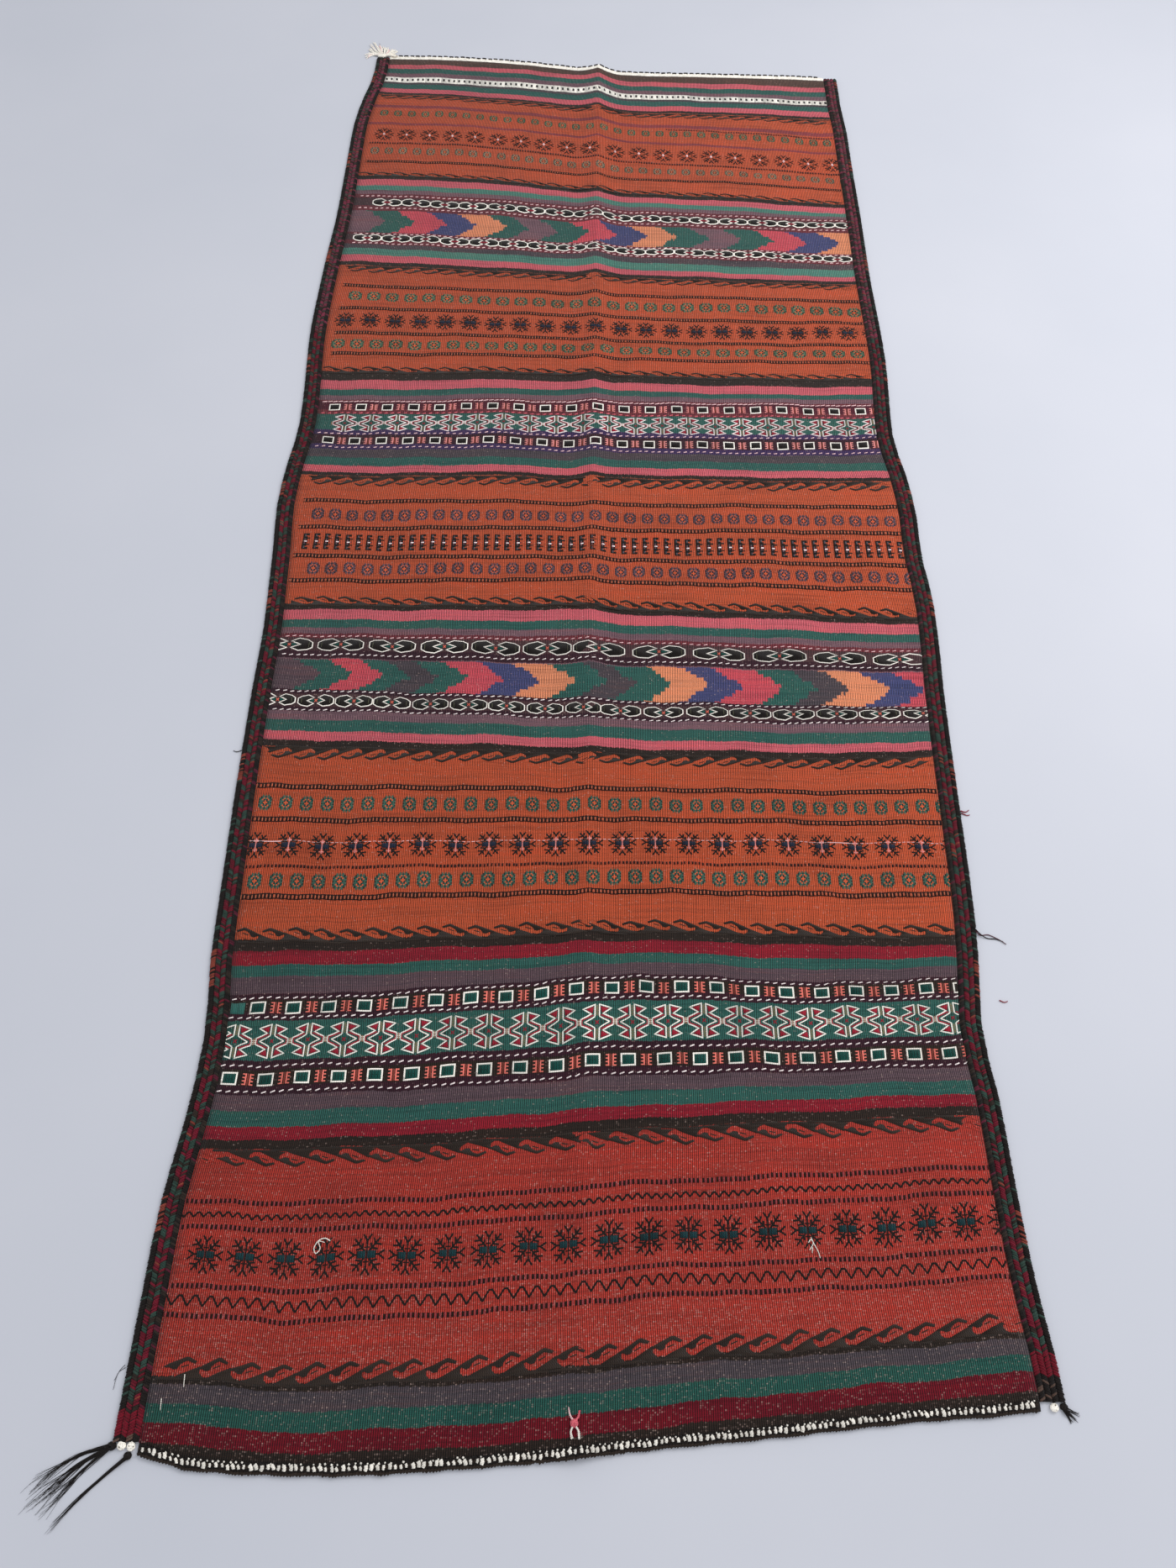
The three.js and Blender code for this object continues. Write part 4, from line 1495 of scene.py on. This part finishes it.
def endRow(facts, unit, out, pitch, seed, wander=0.4, turn=0.1, swell=0.08, height=0.0, keep=1.0):
    # a row of stitches along an end; keep is the share of them that is still there
    hold(unit)
    start = facts["stations"][0] + pitch
    count = int((facts["stations"][-1] - start) // pitch)
    mesh = setOut(
        unit, (start, out, 0), (pitch, 0, 0), count, facts["material"], wander, turn, swell, seed
    )
    if keep < 1:
        lost = np.random.default_rng(seed).random(count) > keep
        dropPoints(mesh, np.repeat(lost, len(unit.data.vertices)))
    x, out, rise = pointsOf(mesh).T
    settle(mesh, *onEnd(facts, x, out, rise + height), facts["outer"].mean() < 0)
    bpy.data.objects.remove(unit)
    return mesh


def finishEnd(name, facts, stitches):
    # the core of one end with its rows of stitches
    parts = [endCore(facts)] + [endRow(facts, unit, *more) for unit, more in stitches]
    return joinedPiece(name, parts, facts["material"], facts["node"])


ivoryStitches = [
    (oneYarn("ivory", [(-3.6, -1.1), (0, 0.2), (3.6, 1.1)], 3.0, 1.0), (1.6, 4.6, 61)),
    (oneYarn("ivory", [(-3.6, 1.1), (0, -0.2), (3.6, -1.1)], 3.0, 1.1), (4.6, 4.7, 62)),
    (oneYarn("ivory", [(-3.6, -1.1), (0, 0.2), (3.6, 1.1)], 3.0, 1.1), (7.7, 4.6, 63)),
    (oneYarn("ivory", [(-3.6, 1.1), (0, -0.2), (3.6, -1.1)], 2.8, 1.0), (10.6, 4.7, 64)),
    (
        oneYarn("nearBlack", [(-5, 0), (0, 0.5), (5, 0)], 5.2, 2.3),
        (12.2, 14.2, 65, 1.1, 0.08, 0.06, 0.6),
    ),
]
ivoryBand = finishEnd("ivory_finish_band", endBands["ivory"], ivoryStitches)
hemStitches = [
    (oneYarn("nearBlack", [(-2.6, -1.5), (0, 0), (2.6, 1.5)], 2.8, 0.9), (1.6, 3.9, 71)),
    (oneYarn("darkBrown", [(-2.6, 1.5), (0, 0), (2.6, -1.5)], 2.8, 1.1), (4.6, 3.9, 72)),
    (oneYarn("nearBlack", [(-2.6, -1.5), (0, 0), (2.6, 1.5)], 2.8, 0.9), (7.6, 3.9, 73)),
    (oneYarn("darkBrown", [(-2.6, 1.5), (0, 0), (2.6, -1.5)], 2.8, 0.8), (10.6, 3.9, 74)),
    (
        oneYarn("ivory", [(-0.9, -2.7), (0.4, 0), (0.1, 2.7)], 3.9, 1.5),
        (4.7, 7.0, 75, 1.0, 0.42, 0.24, 0.9),
    ),
    (
        oneYarn("ivory", [(-0.9, -0.6), (0.9, 0.6)], 2.1, 1.2),
        (0.4, 7.2, 76, 0.8, 0.4, 0.2, 0.9, 0.7),
    ),
]
brownHem = finishEnd("twined_near_hem", endBands["brown"], hemStitches)
print("stage: ends finished")


# Loose yarn, hair and knots

def easedPath(points, step):
    # a smooth curve through the given points, at even steps
    points = [Vector(point) for point in points]
    padded = [2 * points[0] - points[1]] + points + [2 * points[-1] - points[-2]]
    curve = []
    for i in range(1, len(padded) - 2):
        p0, p1, p2, p3 = padded[i - 1:i + 3]
        parts = max(1, math.ceil((p2 - p1).length / step))
        for k in range(parts):
            t = k / parts
            curve.append(0.5 * (
                2 * p1 + (p2 - p0) * t + (2 * p0 - 5 * p1 + 4 * p2 - p3) * t * t
                + (3 * p1 - p0 - 3 * p2 + p3) * t ** 3
            ))
    return curve + [points[-1]]


def crossways(path, i):
    # two directions square to the path at one of its points
    way = path[min(i + 1, len(path) - 1)] - path[max(i - 1, 0)]
    way = way.normalized() if way.length > 1e-6 else Vector((1, 0, 0))
    across = way.cross(Vector((0, 0, 1)))
    across = across.normalized() if across.length > 0.1 else way.orthogonal().normalized()
    return across, across.cross(way)


def runsOf(path):
    # how far along the path each of its points is
    runs = [0.0]
    for before, point in zip(path, path[1:]):
        runs.append(runs[-1] + (point - before).length)
    return runs


class Strands:
    # many thin tubes that make one piece
    def __init__(self, seed):
        self.rng = np.random.default_rng(seed)
        self.points, self.faces = [], []
        self.dyes, self.shades, self.twists = [], [], []

    def tube(self, dye, path, root, tip, shade=0.5, sides=5):
        start = len(self.points)
        for i, (point, run) in enumerate(zip(path, runsOf(path))):
            across, over = crossways(path, i)
            radius = root + (tip - root) * i / (len(path) - 1)
            for k in range(sides):
                angle = math.tau * k / sides
                rim = point + (across * math.cos(angle) + over * math.sin(angle)) * radius
                self.points.append((rim.x, rim.y, max(rim.z, 0.04)))
                self.twists.append((run * 0.001, radius * math.cos(angle) * 0.001, 0.0))
        self.dyes += [dyed(dye)] * (sides * len(path))
        self.shades += [shade] * (sides * len(path))
        for face in tubeFaces(sides, len(path), True):
            self.faces.append(tuple(start + corner for corner in face))

    def plied(self, dye, path, root, tip, pitch=5.5, plies=2):
        # a yarn of plies turned about each other
        first = self.rng.random() * math.tau
        for ply in range(plies):
            line = []
            for i, (point, run) in enumerate(zip(path, runsOf(path))):
                across, over = crossways(path, i)
                radius = (root + (tip - root) * i / (len(path) - 1)) * 0.52
                angle = first + run / pitch * math.tau + math.tau * ply / plies
                line.append(point + (across * math.cos(angle) + over * math.sin(angle)) * radius)
            self.tube(dye, line, root * 0.56, tip * 0.5, 0.3 + 0.4 * self.rng.random())

    def ball(self, dye, knot, ground=0.0, turns=8):
        # a lump of yarn wound round itself
        x, y, halfX, halfY, height = knot
        centre = Vector((x, y, ground + height * 0.46))
        for turn in range(turns):
            lean = self.rng.uniform(-0.9, 0.9)
            spin = math.pi * turn / turns
            ring = []
            for i in range(15):
                angle = math.tau * i / 14
                x = math.cos(angle) * halfX * 0.84
                y = math.sin(angle) * math.sin(lean) * halfY * 0.8
                z = math.sin(angle) * math.cos(lean) * height * 0.40
                ring.append(centre + Vector((
                    x * math.cos(spin) - y * math.sin(spin) * halfX / halfY,
                    x * math.sin(spin) * halfY / halfX + y * math.cos(spin), z,
                )))
            self.tube(dye, ring, 1.15, 1.15, self.rng.random())

    def piece(self, name, material, slot, node=None):
        mesh = bpy.data.meshes.new(name)
        mesh.from_pydata(self.points, [], self.faces)
        for label in ("dye", "shade", "twist"):
            setPoints(mesh, label, getattr(self, label + "s"))
        corners = np.array(self.points)
        setWeave(mesh, *corners.T)
        movePoints(mesh, *corners.T)
        setBakeMap(mesh, corners)
        finished(linked(name, mesh, material), node)
        print("stage:", name)


def lockLine(lock, rootHeight, restHeight, step=2.0):
    # a lock's path comes down from its knot and then lies flat
    heights = [rootHeight] + [restHeight] * (len(lock) - 1)
    return easedPath([(x, y, z) for (x, y), z in zip(lock, heights)], step)


def strayed(path, amount, rng, grow=1.0):
    # the same path, wandering more and more from its root, still above the floor
    phase = rng.uniform(0, math.tau, 3)
    aim = Vector((*(rng.uniform(-1, 1, 2) * amount), 0))
    moved = []
    for i, point in enumerate(path):
        share = i / (len(path) - 1)
        sway = amount * 0.25 * math.sin(share * 7 + phase[0]) * share
        lift = abs(math.sin(phase[1])) * 1.2 * share
        moved.append(point + aim * share ** grow + Vector((sway, -sway, lift)))
    return moved


def groundAt(x, y):
    # the height of the cloth at one place
    return float(topAt(np.array([x]), np.array([y]))[0])


cornerFringe = {
    "knot": (-568, 1549.6, 13, 6, 8),
    "locks": [
        [(-578, 1551), (-594, 1556), (-606, 1548), (-609, 1536)],
        [(-577, 1552), (-597, 1562), (-610, 1556)],
        [(-576, 1553), (-595, 1572), (-607, 1592)],
        [(-574, 1554), (-590, 1580), (-602, 1606)],
        [(-572, 1554), (-583, 1584), (-595, 1614)],
        [(-569, 1554), (-575, 1585), (-584, 1604)],
        [(-565, 1554), (-565, 1578), (-568, 1596)],
        [(-561, 1554), (-556, 1575), (-560, 1594)],
        [(-558, 1553), (-546, 1570), (-545, 1584)],
    ],
    "overLocks": [
        [(-558, 1552), (-544, 1562), (-530, 1569)],
        [(-558, 1550), (-541, 1553), (-526, 1556)],
        [(-559, 1548), (-545, 1546), (-529, 1543)],
    ],
    "darkEnds": [
        [(-562, 1552), (-572, 1580), (-582, 1612)],
        [(-560, 1551), (-566, 1570), (-578, 1590)],
    ],
    "yarnsEach": 4,
}
hairTassels = {
    "left_goat_hair": {
        "node": "left_hair_tassel", "knot": (-587, -1541, 6, 5, 6), "hairs": 16, "spread": 9.0,
        "locks": [
            [(-590, -1541), (-620, -1549), (-650, -1566), (-678, -1588)],
            [(-590, -1543), (-618, -1558), (-646, -1582), (-674, -1606)],
            [(-589, -1544), (-613, -1564), (-636, -1588), (-660, -1614)],
        ],
    },
    "left_goat_hair_lower": {
        "node": "left_hair_tassel_lower", "knot": (-565.5, -1551.1, 5, 4.4, 5), "hairs": 18,
        "spread": 3.0,
        "locks": [
            [(-568, -1554), (-591, -1573), (-616, -1598), (-644, -1630)],
        ],
    },
    "right_goat_hair": {
        "node": "right_hair_tassel", "knot": (584, -1484.4, 5, 4, 5), "hairs": 9, "spread": 2.5,
        "locks": [
            [(585, -1488), (591, -1493), (597, -1500)],
            [(584, -1489), (588, -1495), (592, -1502)],
            [(586, -1487), (593, -1489), (601, -1493)],
        ],
    },
}
yarnTie = {
    "knot": (-24, -1510, 5, 5, 5),
    "ends": [
        ("palePink", [(-24, -1508), (-29, -1502), (-31, -1494)]),
        ("pink", [(-23, -1508), (-19, -1502), (-18, -1496)]),
        ("ivory", [(-25, -1512), (-28, -1519), (-27, -1527)]),
        ("ivory", [(-23, -1512), (-18, -1519), (-17, -1527)]),
    ],
}
cornerKnots = {
    "corner_yarn_1": ("corner_knot_1", (-575, -1540.2, 5.4, 5.2, 6)),
    "corner_yarn_2": ("corner_knot_2", (-563.4, -1541, 5, 5.6, 5.4)),
    "corner_yarn_3": ("corner_knot_3", (572, -1485.3, 5.4, 5, 6)),
}


def tieFringe():
    facts = cornerFringe
    work = Strands(11)
    work.ball("ivory", facts["knot"], turns=11)
    resting = [(lock, 1.9) for lock in facts["locks"]]
    resting += [(lock, 8.0) for lock in facts["overLocks"]]
    for lock, height in resting:
        for yarn in range(facts["yarnsEach"]):
            path = strayed(lockLine(lock, 5.0, height), 5.0, work.rng)
            cut = len(path) - int(work.rng.integers(0, 6))
            dye = "palePink" if work.rng.random() < 0.06 else "ivory"
            work.plied(dye, path[:cut], 2.0, 1.4)
    for lock in facts["darkEnds"]:
        work.plied("wine", strayed(lockLine(lock, 4.0, 1.2), 2.0, work.rng), 0.9, 0.5)
    work.piece("corner_fringe_yarns", ivoryMaterial, "ivory_yarn", "corner_fringe")


def tieHair(name, facts):
    work = Strands(len(name) * 7)
    rng = work.rng
    work.ball("nearBlack", facts["knot"])
    for lock in facts["locks"]:
        for hair in range(facts["hairs"]):
            path = strayed(lockLine(lock, 3.4, 0.7, 6.0), facts["spread"], rng, 1.6)
            start = Vector((rng.uniform(-2.2, 2.2), rng.uniform(-2.2, 2.2), rng.uniform(-0.8, 1.2)))
            path = [point + start * (1 - i / len(path)) for i, point in enumerate(path)]
            path = path[:len(path) - int(rng.integers(0, max(1, len(path) // 4)))]
            work.tube("nearBlack", path, rng.uniform(0.45, 0.75), 0.12, rng.random(), 4)
    work.piece(name, hairMaterial, "goat_hair", facts["node"])


def tieYarn():
    work = Strands(23)
    ground = groundAt(*yarnTie["knot"][:2])
    work.ball("pink", yarnTie["knot"], ground)
    for dye, end in yarnTie["ends"]:
        path = lockLine(end, ground + 3, ground + 1.5, 1.2)
        work.plied(dye, path, 1.5, 1.1, 4.5)
        work.plied(dye, strayed(path, 2.0, work.rng), 1.2, 0.9, 4.5)
    work.piece("tied_yarn", tieMaterial, "pink_yarn", "yarn_tie")


def tieKnot(name, node, knot):
    work = Strands(len(name) + int(abs(knot[0])))
    work.ball("ivory", knot)
    work.piece(name, ivoryMaterial, "ivory_yarn", node)


# Stray ends lie on the cloth and beside it: dye, radius and path
strayEnds = [
    ("ivory", 1.0, [(-350, -1302), (-357, -1299), (-365, -1302), (-370, -1311), (-367, -1318),
                    (-362, -1312), (-365, -1303), (-357, -1304)]),
    ("ivory", 1.0, [(282, -1296), (286, -1292), (290, -1299), (294, -1307), (296, -1315)]),
    ("ivory", 0.9, [(283, -1305), (288, -1297), (286, -1289)]),
    ("ivory", 0.9, [(287, -1302), (286, -1309)]),
    ("ivory", 0.8, [(-512, -1462), (-511, -1476)]),
    ("ivory", 0.8, [(-536, -1489), (-535, -1502)]),
    ("nearBlack", 1.2, [(564, -830), (574, -847), (588, -856), (603, -858), (613, -862)]),
    ("wine", 1.1, [(566, -836), (579, -851), (592, -851), (606, -858), (617, -866)]),
    ("crimson", 1.2, [(582, -636), (590, -638), (596, -634)]),
    ("crimson", 1.2, [(583, -640), (591, -644), (596, -643)]),
    ("crimson", 1.1, [(592, -955), (599, -958), (604, -956)]),
    ("nearBlack", 1.0, [(-590, -540), (-598, -543), (-604, -541)]),
    ("nearBlack", 0.4, [(-590, -1452), (-595, -1458), (-600, -1470)]),
    ("nearBlack", 0.4, [(-589, -1455), (-597, -1462), (-599, -1480)]),
]


def layStrays():
    work = Strands(5)
    for dye, radius, line in strayEnds:
        points = []
        for x, y in line:
            left, right = bindingEdges("left", y), bindingEdges("right", y)
            ground = 0.2
            if left[1] < x < right[1]:
                ground = groundAt(x, y)
            elif left[0] < x < right[0]:
                ground = 5.6
            points.append((x, y, ground + radius))
        work.plied(dye, easedPath(points, 1.5), radius, radius * 0.7, 4.5)
    work.piece("stray_yarn_ends", tieMaterial, "pink_yarn")


tieFringe()
for name, facts in hairTassels.items():
    tieHair(name, facts)
tieYarn()
for name, (node, knot) in cornerKnots.items():
    tieKnot(name, node, knot)
layStrays()


# The woven field's area, half of both its faces

def surfaceArea(mesh):
    # the cloth seen flat: half of both faces together
    areas = np.empty(len(mesh.polygons))
    mesh.polygons.foreach_get("area", areas)
    return float(areas.sum()) / 2


fieldArea = surfaceArea(woven.data)
windings + [ivoryBand, brownHem]
print("stage: field area", round(fieldArea, 4))


# Floor, light and camera

studio = {
    "floorSide": 14.0,
    "lampPlace": (2.4, 0.6, 2.9), "lampSize": 2.4, "lampPower": 75.0,
    "skyStrength": 0.75, "sky": (0.93, 0.96, 1.0, 1.0),
    "cameraPlace": (-0.018, -1.5665, 1.65), "pitch": 59.5, "roll": 0.8,
    "focal": 1400.0, "imageTall": 1866.0,
}


def layFloor():
    half = studio["floorSide"] / 2
    mesh = bpy.data.meshes.new("floor")
    corners = [(-half, -half, 0), (half, -half, 0), (half, half, 0), (-half, half, 0)]
    mesh.from_pydata(corners, [], [(0, 1, 2, 3)])
    floor = linked("floor", mesh, floorMaterial())


def aimed(name, data, place):
    thing = bpy.data.objects.new(name, data)
    bpy.context.scene.collection.objects.link(thing)
    thing.location = place
    return thing


def lightStudio():
    lamp = bpy.data.lights.new("soft_lamp", "AREA")
    lamp.shape = "SQUARE"
    lamp.size = studio["lampSize"]
    lamp.energy = studio["lampPower"]
    thing = aimed("soft_lamp", lamp, studio["lampPlace"])
    thing.rotation_euler = Vector(studio["lampPlace"]).to_track_quat("Z", "Y").to_euler()
    world = bpy.data.worlds.new("studio")
    world.use_nodes = True
    sky = world.node_tree.nodes["Background"]
    sky.inputs["Color"].default_value = studio["sky"]
    sky.inputs["Strength"].default_value = studio["skyStrength"]
    bpy.context.scene.world = world


def setCamera():
    pitch, roll = math.radians(studio["pitch"]), math.radians(studio["roll"])
    forward = Vector((0, math.cos(pitch), -math.sin(pitch)))
    level = Vector((1, 0, 0))
    upright = level.cross(forward)
    across = level * math.cos(roll) + upright * math.sin(roll)
    above = upright * math.cos(roll) - level * math.sin(roll)
    data = bpy.data.cameras.new("camera")
    data.sensor_fit = "AUTO"
    data.sensor_width = 36.0
    data.lens = studio["focal"] / studio["imageTall"] * data.sensor_width
    data.clip_start, data.clip_end = 0.02, 60
    camera = aimed("camera", data, (0, 0, 0))
    turn = Matrix((across, above, -forward)).transposed().to_4x4()
    place = Vector(studio["cameraPlace"]) + Vector((shift[0], shift[1], 0)) * 0.001
    camera.matrix_world = Matrix.Translation(place) @ turn
    bpy.context.scene.camera = camera


layFloor()
lightStudio()
setCamera()
bpy.context.scene.view_settings.view_transform = "Standard"
print("stage: floor, light and camera set")
